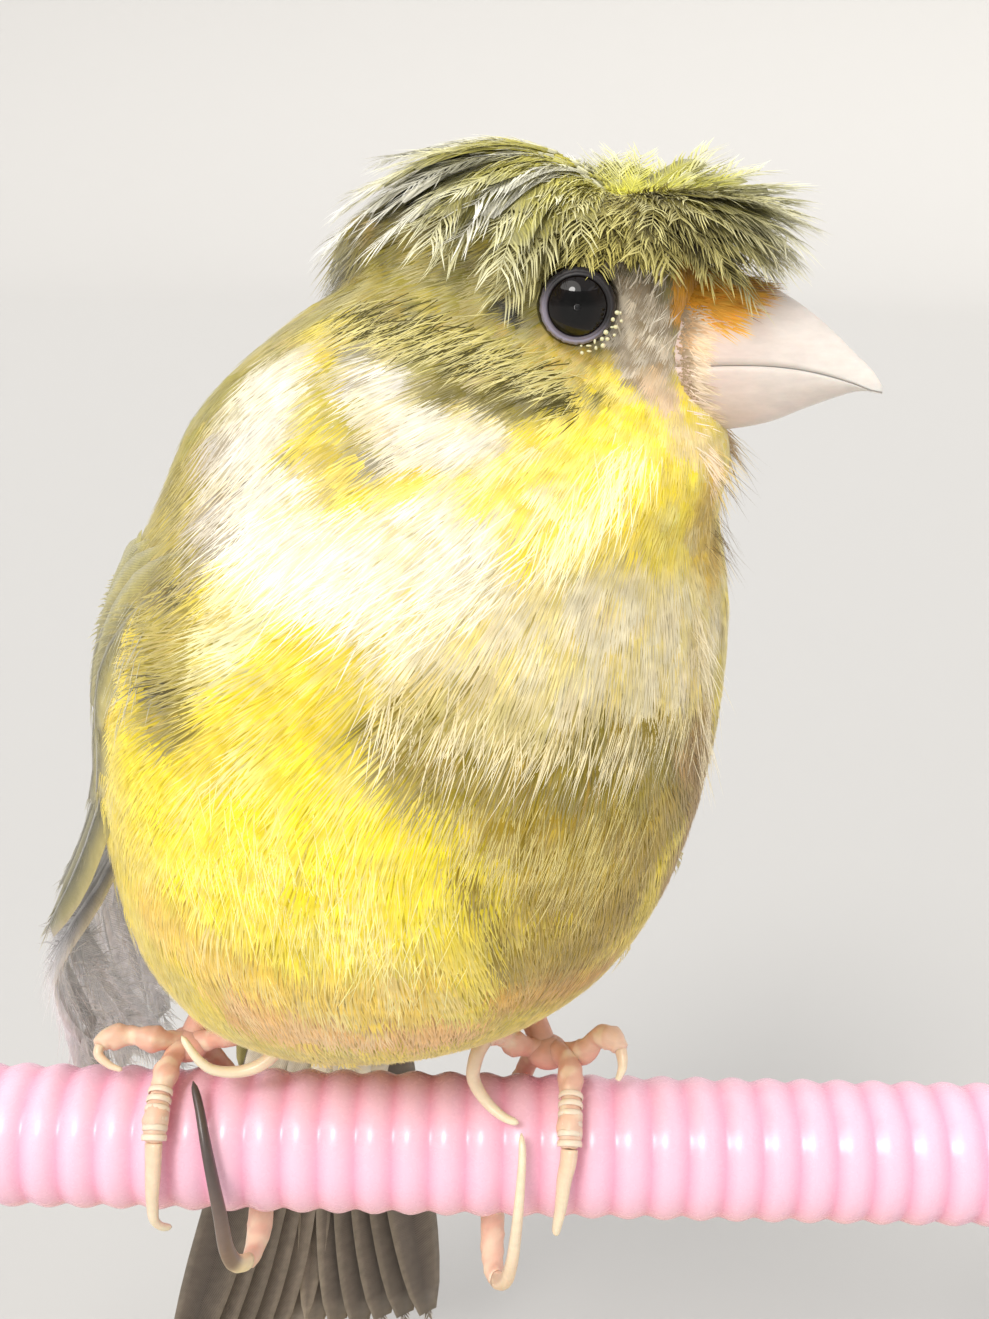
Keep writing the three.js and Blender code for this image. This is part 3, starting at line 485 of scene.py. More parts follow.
def paintedAt(points, rng=None):
    # Colours of the markings at points; with rng some take the fleck colour
    wobble = np.stack([softNoise(points, 7, 11), softNoise(points, 6, 12), softNoise(points, 8, 13)], -1)
    places = points + 0.5 * wobble
    plain, fleck, share = groundColour
    colour = np.tile(rgb(plain), (len(points), 1))
    flecked = np.tile(rgb(fleck), (len(points), 1))
    shares = np.full(len(points), share)
    for mark in plumageMarks.values():
        spots = markPlaces(mark)
        near = np.full(len(points), 1e9)
        for a, b in zip(spots, spots[1:] if len(spots) > 1 else spots):
            ab = b - a
            t = np.clip(((places - a) @ ab) / max(1e-6, ab @ ab), 0, 1)
            near = np.minimum(near, np.linalg.norm(places - a - t[:, None] * ab, axis=1))
        cover = 1 - smooth(mark["wide"] - mark["soft"] / 2, mark["wide"] + mark["soft"], near)
        if rng is not None:  # neighbouring feathers differ a little, so edges are ragged
            cover = np.clip((cover - rng.uniform(0.2, 0.8, len(points))) * 1.8 + 0.5, 0, 1)
        plain, fleck, share = mark["colours"]
        colour = mixed(colour, rgb(plain), cover[:, None])
        flecked = mixed(flecked, rgb(fleck), cover[:, None])
        shares = mixed(shares, share, cover)
    if rng is None:
        return mixed(colour, flecked, shares[:, None])
    chosen = (rng.uniform(size=len(points)) < shares) * rng.uniform(0.35, 0.8, len(points))
    return mixed(colour, flecked, chosen[:, None])


def markPlaces(mark):
    if "at" not in mark:
        if "seen" in mark:
            hits = [seen(*pixel) for pixel in mark["seen"]]
            mark["at"] = [hit[0] for hit in hits if hit]
        elif "head" in mark:
            mark["at"] = [leaned(onHead(*place)) for place in mark["head"]]
        else:
            mark["at"] = [around(*place) for place in mark["around"]]
    return mark["at"]


# The lie of the feathers: pixel of the picture and the way the tips point there
lieArrows = [
    (262, 400, -0.55, 0.8), (233, 450, -0.7, 0.7), (300, 400, -0.7, 0.7), (233, 520, -0.85, 0.5),
    (170, 520, -0.8, 0.6), (144, 560, -0.9, 0.35), (360, 439, -0.7, 0.7), (335, 495, -0.8, 0.5),
    (310, 560, -0.9, 0.45), (412, 610, -0.75, 0.6), (233, 635, -1, 0.15), (169, 650, -0.95, -0.2),
    (156, 694, -1, 0.1), (156, 745, -0.6, 0.75), (302, 735, -0.85, 0.5), (386, 712, -0.8, 0.6),
    (450, 686, -0.75, 0.65), (453, 517, -0.85, 0.5), (574, 493, -0.5, 0.85), (622, 493, -0.2, 0.97),
    (683, 493, 0.05, 1), (715, 500, 0.4, 0.9), (735, 500, 0.7, 0.7), (501, 614, -0.5, 0.85),
    (574, 614, -0.35, 0.93), (647, 614, 0, 1), (707, 626, 0.1, 1), (550, 687, -0.35, 0.93),
    (647, 687, -0.1, 1), (683, 740, 0.3, 0.95), (708, 740, 0.9, 0.3), (404, 759, -0.7, 0.7),
    (501, 759, -0.45, 0.9), (598, 759, -0.2, 0.98), (456, 827, -0.6, 0.8), (533, 815, -0.3, 0.95),
    (610, 802, 0, 1), (635, 879, -0.1, 0.98), (673, 776, 0.4, 0.9), (694, 822, 0.6, 0.7),
    (668, 866, 0.25, 0.95), (533, 904, 0, 1), (495, 930, 0.1, 1), (610, 930, -0.35, 0.95),
    (559, 981, -0.6, 0.8), (464, 912, 0.5, 0.85), (405, 828, -0.1, 1), (370, 810, -0.3, 0.95),
    (444, 879, 0.45, 0.9), (482, 955, 0.5, 0.85), (195, 802, -0.6, 0.75), (177, 843, -0.7, 0.7),
    (220, 866, -0.25, 0.95), (259, 917, -0.3, 0.95), (246, 955, 0, 1), (348, 879, -0.25, 0.95),
    (310, 815, -0.55, 0.8), (361, 930, -0.2, 0.97), (412, 955, 0.1, 1), (302, 975, 0.2, 0.95),
    (340, 1010, 0, 1), (450, 891, 0.5, 0.85), (207, 955, 0.35, 0.9), (131, 879, -0.1, 0.98),
    (386, 1032, 0.1, 1), (440, 324, -0.98, 0.2), (405, 363, -0.9, 0.45), (370, 398, -0.75, 0.65),
    (493, 363, -0.85, 0.5), (545, 385, -0.75, 0.6), (598, 403, -0.6, 0.8), (563, 433, -0.5, 0.85),
    (630, 345, -0.5, 0.85), (645, 385, -0.2, 1), (640, 300, -0.7, 0.6), (493, 303, -1, 0.1),
    (405, 310, -0.95, 0.15), (328, 330, -0.9, 0.4), (310, 363, -0.75, 0.65), (690, 420, 0, 1),
    (738, 440, 0.3, 0.95), (702, 290, 0.6, 0.6), (675, 290, -0.3, 0.9), (540, 340, -0.9, 0.5),
    (600, 365, -0.7, 0.7),
]


def lieGuides():
    right, up, along = viewAxes
    places, ways = [], []
    for px, py, dx, dy in lieArrows:
        hit = seen(px, py)
        if hit is None:
            continue
        place, normal = hit
        flat = right * dx - up * dy
        away = -(flat @ normal) / min(-0.25, along @ normal)
        way = unit(flat + along * away)
        places.append(place)
        ways.append(way)
        if place[2] > perchHeight + 58:  # the head's far side is its mirror image
            places.append(place - acrossHead(place - headCentre))
            ways.append(way - acrossHead(way))
    return np.array(places), np.array(ways)


def lieAt(points, normals):
    # Away from the bill on the head and down the trunk, turned by the nearest arrows
    fromBill = points - leaned(onHead(11.0, 0.0, 64.0))
    high = smooth(50, 63, points[:, 2] - perchHeight)[:, None]
    base = mixed(np.array([[0, 0.12, -1.0]]), unit(fromBill) + np.array([0, 0, -0.35]), high)
    places, ways = guides
    away = np.linalg.norm(points[:, None, :] - places[None], axis=2)
    weight = np.exp(-((away / 4.2) ** 2)) + 0.02 * np.exp(-((away / 12) ** 2))
    weight = weight / np.maximum(1, weight.sum(1, keepdims=True))
    lie = unit(base) * 0.06 + weight @ ways
    lie = lie - (lie * normals).sum(1, keepdims=True) * normals
    return unit(lie)


guides = lieGuides()
print("lie of the feathers from", len(guides[0]), "arrows")

# Skin under the feathers
skinSize = {"depth": 0.55, "voxel": 0.55, "crown": {"at": (-3.8, 0, 69.6), "half": (9.9, 6.8, 3.1)}}

eyeForm = {
    "ahead": 2.9, "right": 7.7, "level": 66.6, "ball": 2.4, "opening": 1.7, "ring": 0.3,
    # The rim's section for an opening of 1.84 mm: distance from its middle and height over it
    "rim": [
        (1.72, -0.3), (1.8, 0.02), (1.86, 0.1), (1.93, 0.1), (1.98, 0.04), (2.04, 0.03), (2.1, 0.07),
        (2.17, 0.02), (2.24, -0.1), (2.3, -0.3), (2.34, -0.7), (2.0, -1.1),
    ],
    "beads": {"turns": (8, 84), "rows": [(2.22, -0.02), (2.56, -0.12)], "spacing": 0.43, "radius": 0.13,
              "colour": "#DDD6AE"},
}


def eyePlace(side):
    out = unit(headRight * side + forward * 0.2)
    opening = onHead(eyeForm["ahead"], side * eyeForm["right"], eyeForm["level"])
    centre = opening - out * math.sqrt(eyeForm["ball"] ** 2 - eyeForm["opening"] ** 2)
    turnedOut = unit(leaned(opening + out) - leaned(opening))
    return leaned(centre), leaned(opening), turnedOut


def makeSkin(material):
    depth = skinSize["depth"]
    crown = skinSize["crown"]
    axes = [way * half for way, half in zip((forward, headRight, upward), crown["half"])]
    points, faces = joined([trunkMesh(-depth), rumpMesh(-depth), ellipsoidMesh(onHead(*crown["at"]), axes)])
    skin = makePiece("skin", leaned(points), faces, material)
    remesh = skin.modifiers.new("remesh", "REMESH")
    remesh.mode = "VOXEL"
    remesh.voxel_size = skinSize["voxel"] * mm
    relaxed = skin.modifiers.new("relax", "SMOOTH")
    relaxed.iterations = 12
    evaluated(skin)
    mesh = skin.data
    places = vertexRows(mesh, "co") / mm
    # On the face the coat is thin, so the skin comes out again; round each eye it sinks to a socket
    fromBill = np.linalg.norm(places - billRoot, axis=1)
    places += vertexRows(mesh, "normal") * (0.5 * (1 - smooth(6, 15, fromBill)))[:, None]
    for side in (1, -1):
        _, opening, out = eyePlace(side)
        offset = places - opening
        across = np.linalg.norm(offset - (offset @ out)[:, None] * out, axis=1)
        near = (1 - smooth(1.6, 3.4, across)) * (np.abs(offset @ out) < 3)
        places -= out * (np.maximum(0, offset @ out + 0.9) * near)[:, None]
    mesh.vertices.foreach_set("co", (places * mm).ravel())
    mesh.update()
    writePlume(mesh, paintedAt(places))
    mesh.polygons.foreach_set("use_smooth", np.ones(len(mesh.polygons), bool))
    return skin


# Feather keratin in fine barbs: silky, matt to satin, with colour that wavers about every millimetre,
# as it does where tufts overlap
def makeFeatherMaterial():
    material, tree, shader = newMaterial(
        "feather_keratin_barbs", Roughness=0.62, Sheen_Weight=0.25, Sheen_Roughness=0.4, IOR=1.54,
        Specular_IOR_Level=0.25)
    tintPlume(tree, shader, spanned(tree, noiseAt(tree, 0.9, 0.0), 0.92, 1.08))
    return material


# Barbs: thin ridged slivers of three corners, from a root through a middle to a point
def barbs(base, middle, tip, up, width, colours):
    # Arrays of n places; colours holds three colour arrays, for base, middle and tip
    way = unit(tip - base)
    side = unit(np.cross(way, up)) * (np.broadcast_to(width, len(base)) / 2)[:, None]
    ridge = unit(np.cross(side, way)) * (np.linalg.norm(side, axis=1) * 0.3)[:, None]
    ridge = np.where(((ridge * up).sum(1) < 0)[:, None], -ridge, ridge)
    points = np.stack([
        base - side * 0.8, base + side * 0.8, base + ridge,
        middle - side, middle + side, middle + ridge, tip,
    ], 1)
    faces = np.array([
        [0, 1, 2], [0, 2, 5], [0, 5, 3], [2, 1, 4], [2, 4, 5],
        [1, 0, 3], [1, 3, 4], [3, 5, 6], [5, 4, 6], [4, 3, 6],
    ])
    n = len(base)
    faces = (faces[None] + 7 * np.arange(n)[:, None, None]).reshape(-1, 3)
    shades = np.stack([colours[0]] * 3 + [colours[1]] * 3 + [colours[2]], 1)
    return points.reshape(-1, 3), faces, shades.reshape(-1, 3)


def softNormals(base, tip, up, roundness):
    # Shades a barb as part of the rounded coat, a little rounded across itself
    side = unit(np.cross(tip - base, up)) * roundness
    return unit(np.stack([up - side, up + side, up, up - side, up + side, up, up], 1)).reshape(-1, 3)


# Contour feathers: tufts of barbs from one root, lying over the next ones
coatSize = {
    "seed": 21, "lengths": (1.5, 5.6), "spacing": 0.145, "barbs": 8, "widths": (0.09, 0.14),
    "depth": 0.6, "spread": 0.2, "roundness": 0.2,
}


def coatLength(points):
    share = smooth(1.5, 34, np.linalg.norm(points - billRoot, axis=1)) ** 0.75
    length = mixed(coatSize["lengths"][0], coatSize["lengths"][1], share)
    for side in (1, -1):
        fromEye = np.linalg.norm(points - eyePlace(side)[1], axis=1)
        length = length * mixed(0.55, 1, smooth(2.6, 6.5, fromEye))
    return length


def spreadRoots(skin, rng):
    # Places on the skin, each a share of the feather's length away from the last
    corners = triangleCorners(skin.data)
    co, normal = vertexRows(skin.data, "co") / mm, vertexRows(skin.data, "normal")
    a, b, c = (co[corners[:, k]] for k in range(3))
    area = np.linalg.norm(np.cross(b - a, c - a), axis=1) / 2
    spacing = coatLength((a + b + c) / 3) * coatSize["spacing"]
    want = area / spacing**2
    count = int(want.sum() * 2.2)
    chosen = rng.choice(len(area), count, p=want / want.sum())
    u, v = rng.uniform(size=(2, count, 1))
    flip = (u + v) > 1
    u, v = np.where(flip, 1 - u, u), np.where(flip, 1 - v, v)
    points = a[chosen] + u * (b[chosen] - a[chosen]) + v * (c[chosen] - a[chosen])
    normals = unit(sum(normal[corners[chosen, k]] * w for k, w in ((0, 1 - u - v), (1, u), (2, v))))
    apart = coatLength(points) * coatSize["spacing"]
    keep, cells = [], {}  # the places that are kept, also by the cubes of 1 mm that they are in
    steps = list(itertools.product((-1, 0, 1), repeat=3))
    for i, (x, y, z, gap) in enumerate(np.column_stack([points, apart])):
        cx, cy, cz = int(x // 1), int(y // 1), int(z // 1)
        taken = (place for dx, dy, dz in steps for place in cells.get((cx + dx, cy + dy, cz + dz), ()))
        if all((x - ox) ** 2 + (y - oy) ** 2 + (z - oz) ** 2 >= gap**2 * 0.72 for ox, oy, oz in taken):
            cells.setdefault((cx, cy, cz), []).append((x, y, z))
            keep.append(i)
    return points[keep], normals[keep]


def overSkin(tree, points, height):
    made = np.array([tree.find_nearest(Vector(point))[:2] for point in points])
    return made[:, 0] + made[:, 1] * height[:, None], made[:, 1]


def unwrapped(points):
    # The skin's own shape laid flat: turn round the trunk against level
    middle = leaned(np.stack([-5 + 0 * points[:, 0], -1 + 0 * points[:, 0], points[:, 2]], -1))
    turn = np.arctan2(points[:, 1] - middle[:, 1], points[:, 0] - middle[:, 0])
    return np.stack([0.02 + 0.96 * (turn / (2 * math.pi) + 0.5), 0.02 + 0.96 * (points[:, 2] - 66) / 74],
                    -1)


def makeCoat(skin, tree, material):
    rng = np.random.default_rng(coatSize["seed"])
    roots, normals = spreadRoots(skin, rng)
    inBill = leaned(onHead(11.0, 0.0, 63.2))
    clear = np.linalg.norm((roots - inBill) * np.array([1, 1, 0.9]), axis=1) > 2.4
    for side in (1, -1):
        fromEye = np.linalg.norm(roots - eyePlace(side)[1], axis=1)
        clear &= fromEye > eyeForm["opening"] + eyeForm["ring"] + 0.25
    roots, normals = roots[clear], normals[clear]
    lie = lieAt(roots, normals)
    n = len(roots)
    length = coatLength(roots) * rng.uniform(0.85, 1.15, n)
    short, long = coatSize["lengths"]
    relative = (length - short) / (long - short)
    depth = coatSize["depth"] * np.clip(0.35 + 0.7 * relative, 0.35, 1) * rng.uniform(0.9, 1.06, n)
    depth = np.where(rng.uniform(size=n) < 0.015, depth * 1.5, depth)  # a few stand up
    middle, up = overSkin(tree, roots + lie * (length * 0.5)[:, None], depth * 0.78)
    tip, upTip = overSkin(tree, roots + lie * length[:, None], depth)
    colour = paintedAt(roots + lie * (length * 0.6)[:, None] + normals * depth[:, None], rng)
    shade = rng.uniform(0.92, 1.08, n)
    count = coatSize["barbs"]
    made = []
    width = mixed(*coatSize["widths"], np.clip(relative, 0, 1))
    for j in range(count):
        across = (j - (count - 1) / 2) / ((count - 1) / 2)
        side = unit(np.cross(up, tip - roots))
        fan = across * length * coatSize["spread"] + rng.normal(0, 0.08, n) * length * 0.3
        long = 1 - 0.16 * across**2 + rng.uniform(-0.12, 0.08, n)
        rootJ = roots + side * (fan * 0.22)[:, None] - normals * 0.1
        middleJ = middle + side * (fan * 0.62)[:, None] + (middle - roots) * ((long - 1) * 0.5)[:, None]
        tipJ = tip + side * fan[:, None] + (tip - middle) * ((long - 1) * 2)[:, None]
        tipJ = tipJ + upTip * (rng.normal(0, 0.05, n) * depth)[:, None]
        tone = (shade * rng.uniform(0.93, 1.07, n))[:, None]
        own = colour * tone
        pale = mixed(own, 1.0, 0.1 + 0.1 * rng.uniform(size=n)[:, None])
        # Each barb's base is painted 8 % darker than its own colour: painted shade down among the
        # overlapping tufts
        made.append((rootJ, middleJ, tipJ, own * 0.92, own, pale, across))
    return roots, up, made, width


def regionOf(roots):
    # Names each tuft's piece, so that no piece is too large
    level = roots[:, 2] - perchHeight
    ahead = (roots - headCentre) @ forward
    towardsLeft = -(roots - headCentre) @ headRight
    heading = headingOf(np.float64(birdForm["bodyHeading"]))
    front = (roots[:, :2] - np.array([-7, 0])) @ heading[:2] > 0
    fromBill = np.linalg.norm(roots - billRoot, axis=1)
    names = np.empty(len(roots), object)
    names[:] = "bellyFeathers"
    names[(level < 24) & ~front] = "ventFeathers"
    names[(level >= 24) & (level < 42)] = "breastFeathers"
    names[(level >= 24) & (level < 42) & ~front] = "backFeathers"
    names[(level >= 42) & (level < 55)] = "collarFeathers"
    names[(level >= 42) & (level < 55) & ~front] = "mantleFeathers"
    names[(level >= 55)] = "napeFeathers"
    names[(level >= 55) & (ahead > -3)] = "cheekFeathers"
    names[(level >= 55) & (ahead > -3) & (towardsLeft > 0)] = "farCheekFeathers"
    names[(level >= 52) & (fromBill < 7.5)] = "faceFeathers"
    return names


regionSlots = {
    "bellyFeathers": "belly_feathers", "ventFeathers": "belly_feathers",
    "breastFeathers": "belly_feathers", "backFeathers": "belly_feathers",
    "collarFeathers": "collar_feathers", "mantleFeathers": "collar_feathers",
    "napeFeathers": "head_feathers", "cheekFeathers": "head_feathers",
    "farCheekFeathers": "head_feathers", "faceFeathers": "head_feathers",
}


def barbMap(places, across, half):
    # A small patch of the bake map for each barb, round its place on the unwrapped skin
    patch = np.array([[-half, -1], [half, -1], [0, -1], [-half, 0], [half, 0], [0, 0], [0, 1]])
    patch[:, 0] += across
    return (places[:, None, :] + patch[None] * 0.0014).reshape(-1, 2)


def layCoat(skin, tree, material):
    roots, up, made, width = makeCoat(skin, tree, material)
    names = regionOf(roots)
    places = unwrapped(roots)
    for name, slot in regionSlots.items():
        k = names == name
        parts = []
        for base, middle, tip, dark, own, pale, across in made:
            laid = barbs(base[k], middle[k], tip[k], up[k], width[k], (dark[k], own[k], pale[k]))
            normals = softNormals(base[k], tip[k], up[k], coatSize["roundness"])
            parts.append((*laid, normals, barbMap(places[k], across, 0.15)))
        points, faces, colours, normals, maps = joined(parts)
        piece = makePiece(name, points, faces, material, colours, normals=normals)
        piece.visible_shadow = False  # thin barbs let the light through to the ones below
        writeMap(piece, "OFBake", maps)
        settle(piece, slot)
        print(name, k.sum(), "tufts,", len(piece.data.polygons), "triangles")


featherMaterial = makeFeatherMaterial()
skin = makeSkin(featherMaterial)
settle(skin, "belly_feathers", "torso", "neck", "head")
tree = treeOf(vertexRows(skin.data, "co") / mm, triangleCorners(skin.data))
print("skin", len(skin.data.polygons), "faces")
layCoat(skin, tree, featherMaterial)


# Tubes, vanes and open feathers


def tube(path, radii, sides=8, hint=None, shape=None):
    # A closed rod along path; shape(row, angle) may scale its radius
    path = np.asarray(path, float)
    radii = np.asarray(radii, float)
    tangents = unit(np.gradient(path, axis=0))
    normal = np.cross(tangents[0], hint if hint is not None else [0.3, 0.2, 0.93])
    frames = []
    for tangent in tangents:
        normal = unit(normal - (normal @ tangent) * tangent)
        frames.append((normal, np.cross(tangent, normal)))
    angles = np.linspace(0, 2 * math.pi, sides, endpoint=False)
    rows = []
    for row, (point, radius, (n, b)) in enumerate(zip(path, radii, frames)):
        scale = radius * (shape(row, angles) if shape else 1)
        rows.append(point + (np.cos(angles) * scale)[:, None] * n + (np.sin(angles) * scale)[:, None] * b)
    points = np.concatenate(rows + [path[:1], path[-1:]])
    faces = gridFaces(len(path), sides)[:, ::-1]
    ring = np.arange(sides)
    ends = [fan(len(points) - 2, ring, True), fan(len(points) - 1, (len(path) - 1) * sides + ring)]
    return points, np.concatenate([faces, *ends])


def vane(path, ups, half, thick, columns):
    # A closed leaf round a path, with its place across (-1 to 1) and along (0 to 1) for each vertex
    rows, n = len(path), columns + 1
    tangents = unit(np.gradient(path, axis=0))
    sides = unit(np.cross(tangents, ups))
    uppers = np.cross(sides, tangents)
    u = np.linspace(-1, 1, n)
    out = half[:, None] * u[None, :]
    drop = -0.12 * np.abs(out) * np.abs(u)[None, :]
    body = np.clip(1 - np.abs(u) ** 2, 0.12, 1) * thick / 2
    middle = path[:, None, :] + sides[:, None, :] * out[..., None] + uppers[:, None, :] * drop[..., None]
    top = middle + uppers[:, None, :] * body[None, :, None]
    under = middle - uppers[:, None, :] * body[None, :, None]
    points = np.concatenate([top, under[:, ::-1]], 1).reshape(-1, 3)
    k = np.arange(columns)
    quads = np.stack([k, k + 1, 2 * n - 2 - k, 2 * n - 1 - k], -1)
    caps = []
    for cap in (quads, quads[:, ::-1] + (rows - 1) * 2 * n):
        caps += [cap[:, [0, 1, 2]], cap[:, [0, 2, 3]]]
    across = np.tile(np.concatenate([u, u[::-1]]), rows)
    along = np.repeat(np.linspace(0, 1, rows), 2 * n)
    return points, np.concatenate([gridFaces(rows, 2 * n), *caps]), across, along


# What every feather has unless its own look says otherwise
featherLook = {"webShade": 0.9, "rachisColour": 0.3, "taper": 0.35, "curl": 0.35, "thick": 0.12}


class Plumage:
    # Gathers feathers into one mesh, each with its own cell of the bake map
    def __init__(self, cells):
        self.points, self.faces, self.colours, self.maps, self.vanes, self.soft = [], [], [], [], [], []
        self.count, self.cell, self.across = 0, 0, math.ceil(math.sqrt(cells))

    def put(self, points, faces, colours, places, vanePlaces, soft=True):
        self.soft.append(np.full(len(faces), soft))
        self.faces.append(np.asarray(faces) + self.count)
        self.points.append(points)
        self.colours.append(np.broadcast_to(colours, (len(points), 3)))
        corner = np.array([self.cell % self.across, self.cell // self.across])
        self.maps.append((corner + 0.1 + 0.8 * np.clip(places, 0, 1)) / self.across)
        self.vanes.append(vanePlaces)
        self.count += len(points)

    def feather(self, path, ups, width, colourAt, rng, look):
        # A closed vane over a share "web" of the width, a rachis, and open barbs along both sides
        look = {**featherLook, "tipAngle": look["angle"] * 0.55, **look}
        steps = np.linspace(0, 1, len(path))
        length = np.linalg.norm(np.diff(path, axis=0), axis=1).sum()

        def at(values, t):
            return np.stack([np.interp(t, steps, values[:, k]) for k in range(3)], -1)

        t = np.linspace(0, look["webEnd"], look["rows"])
        rounded = np.sqrt(np.clip(1 - ((t - 0.62) / 0.38) ** 2, 0.01, 1) * (t > 0.62) + (t <= 0.62))
        half = width / 2 * np.minimum(1, 0.42 + 2.6 * t) * rounded * look["web"]
        points, faces, across, along = vane(at(path, t), at(ups, t), half, look["thick"], look["columns"])
        along = along * look["webEnd"]
        colours = colourAt(along, np.abs(across) * look["web"]) * look["webShade"]
        vanePlaces = np.stack([across * width / 2 * look["web"], along * length], -1) / 10
        self.put(points, faces, colours, np.stack([0.5 + 0.4 * across, along], -1), vanePlaces)
        t = np.linspace(0, 0.98, 7)
        shaftPath = at(path, t) + at(ups, t) * look["thick"] * 0.5
        points, faces = tube(shaftPath, look["rachis"] * (1 - 0.75 * t), 4)
        along = np.concatenate([np.repeat(t, 4), [0, 1]])
        shaft = colourAt(along, 0 * along)
        if look["rachisColour"] is not None:
            shaft = shaft * 0.5 + look["rachisColour"] * 0.5
        self.put(points, faces, shaft, np.stack([0 * along + 0.5, along], -1), np.zeros((len(along), 2)))
        number = max(4, int(length / look["spacing"]))
        for side in (-1, 1):
            t = (np.arange(number) + rng.uniform(0, 0.6, number)) / number
            t = look["from"] + (0.99 - look["from"]) * t
            root = at(path, t)
            tangent = unit(at(path, np.minimum(1, t + 0.03)) - at(path, np.maximum(0, t - 0.03)))
            up = unit(at(ups, t))
            flat = unit(np.cross(tangent, up)) * side
            lean = mixed(look["angle"], look["tipAngle"], t)
            angle = np.radians(lean + rng.normal(0, look["loose"], number))
            span = look["barbLength"] * np.minimum(1, 0.55 + 2 * t) * (1 - look["taper"] * t**3)
            span = span * rng.uniform(0.85, 1.08, number)
            way = tangent * np.cos(angle)[:, None] + flat * np.sin(angle)[:, None]
            lift = rng.normal(0, look["ruffle"], number)[:, None]
            middle = root + way * (span * 0.5)[:, None] + up * (0.03 + lift) * span[:, None] * 0.5
            bend = unit(way + tangent * look["curl"])
            tip = middle + bend * (span * 0.5)[:, None] + up * (lift - look["droop"]) * span[:, None] * 0.5
            tone = rng.uniform(0.88, 1.1, number)[:, None]
            out = span * np.sin(angle) / (width / 2)
            # Barb roots by the rachis are painted 15 % darker: painted shade under the neighbouring barbs
            low, mid = colourAt(t, 0 * t + 0.15) * 0.85 * tone, colourAt(t, out * 0.55) * tone
            high = colourAt(np.minimum(1, t + 0.1), 0 * t + 1) * tone
            points, faces, colours = barbs(root, middle, tip, up, look["barbWidth"], (low, mid, high))
            mapS = np.tile([0, 0, 0, 0.5, 0.5, 0.5, 1], number) * 0.45 * side + 0.5
            places = np.stack([mapS, np.repeat(t, 7)], -1)
            self.put(points, faces, colours, places, np.zeros((len(points), 2)), False)
        self.cell += 1

    def piece(self, name, material):
        points, faces, colours = (np.concatenate(rows) for rows in (self.points, self.faces, self.colours))
        made = makePiece(name, points, faces, material, colours)
        writeMap(made, "OFBake", np.concatenate(self.maps))
        writeMap(made, "vane", np.concatenate(self.vanes))
        made.data.polygons.foreach_set("use_smooth", np.concatenate(self.soft))
        print(name, self.cell, "feathers,", len(made.data.polygons), "triangles")
        return made


# Feather vanes: the same keratin, with fine slanting barb lines that follow each vane; a worn thin
# vane also lets light through from behind
def makeVaneMaterial(name, through=0.0):
    material, tree, shader = newMaterial(
        name, Roughness=0.5, Sheen_Weight=0.2, IOR=1.54, Specular_IOR_Level=0.3,
        Subsurface_Weight=through, Subsurface_Scale=1.5 * mm, Subsurface_Radius=(1.0, 1.0, 1.0))
    vaneMap = addNode(tree, "ShaderNodeUVMap", uv_map="vane")
    parts = addNode(tree, "ShaderNodeSeparateXYZ", {"Vector": vaneMap.outputs["UV"]}).outputs
    slant = maths(tree, "MULTIPLY_ADD", maths(tree, "ABSOLUTE", parts["X"]), -1.5, parts["Y"])
    # Barb lines 0.32 mm apart, a little coarser than real ones so that they show
    line = maths(tree, "SINE", maths(tree, "MULTIPLY", slant, 2 * math.pi * 10 / 0.32))
    level = maths(tree, "MULTIPLY_ADD", line, 0.13, 0.52)
    tintPlume(tree, shader, maths(tree, "ADD", level, noiseAt(tree, 1.2, 3.0)))
    addBump(tree, shader, line, 0.5, 0.03)
    return material


vaneMaterial = makeVaneMaterial("feather_keratin_vane")
thinVaneMaterial = makeVaneMaterial("feather_keratin_thin_vane", 0.7)


def vaneShades(colours, spans, tone, whitened=0):
    # Rachis side, vane and edge colours, eased out from the rachis and towards the tip; whitened is
    # how far the outer half of a worn feather turns whitish
    dark, middle, edge = (rgb(colour) for colour in colours)

    def colourAt(t, out):
        t, out = np.asarray(t, float)[..., None], np.asarray(out, float)[..., None]
        colour = mixed(dark, middle, smooth(*spans["vane"], out))
        colour = mixed(colour, rgb("#F4F1F5"), smooth(0.25, 0.6, t) * whitened)
        (side, sideShare), (end, endShare) = spans["edge"], spans["tip"]
        pale = smooth(side, 1, out) * sideShare + smooth(end, 1, t) * endShare
        return mixed(colour, edge, np.clip(pale, 0, 1)) * tone

    return colourAt


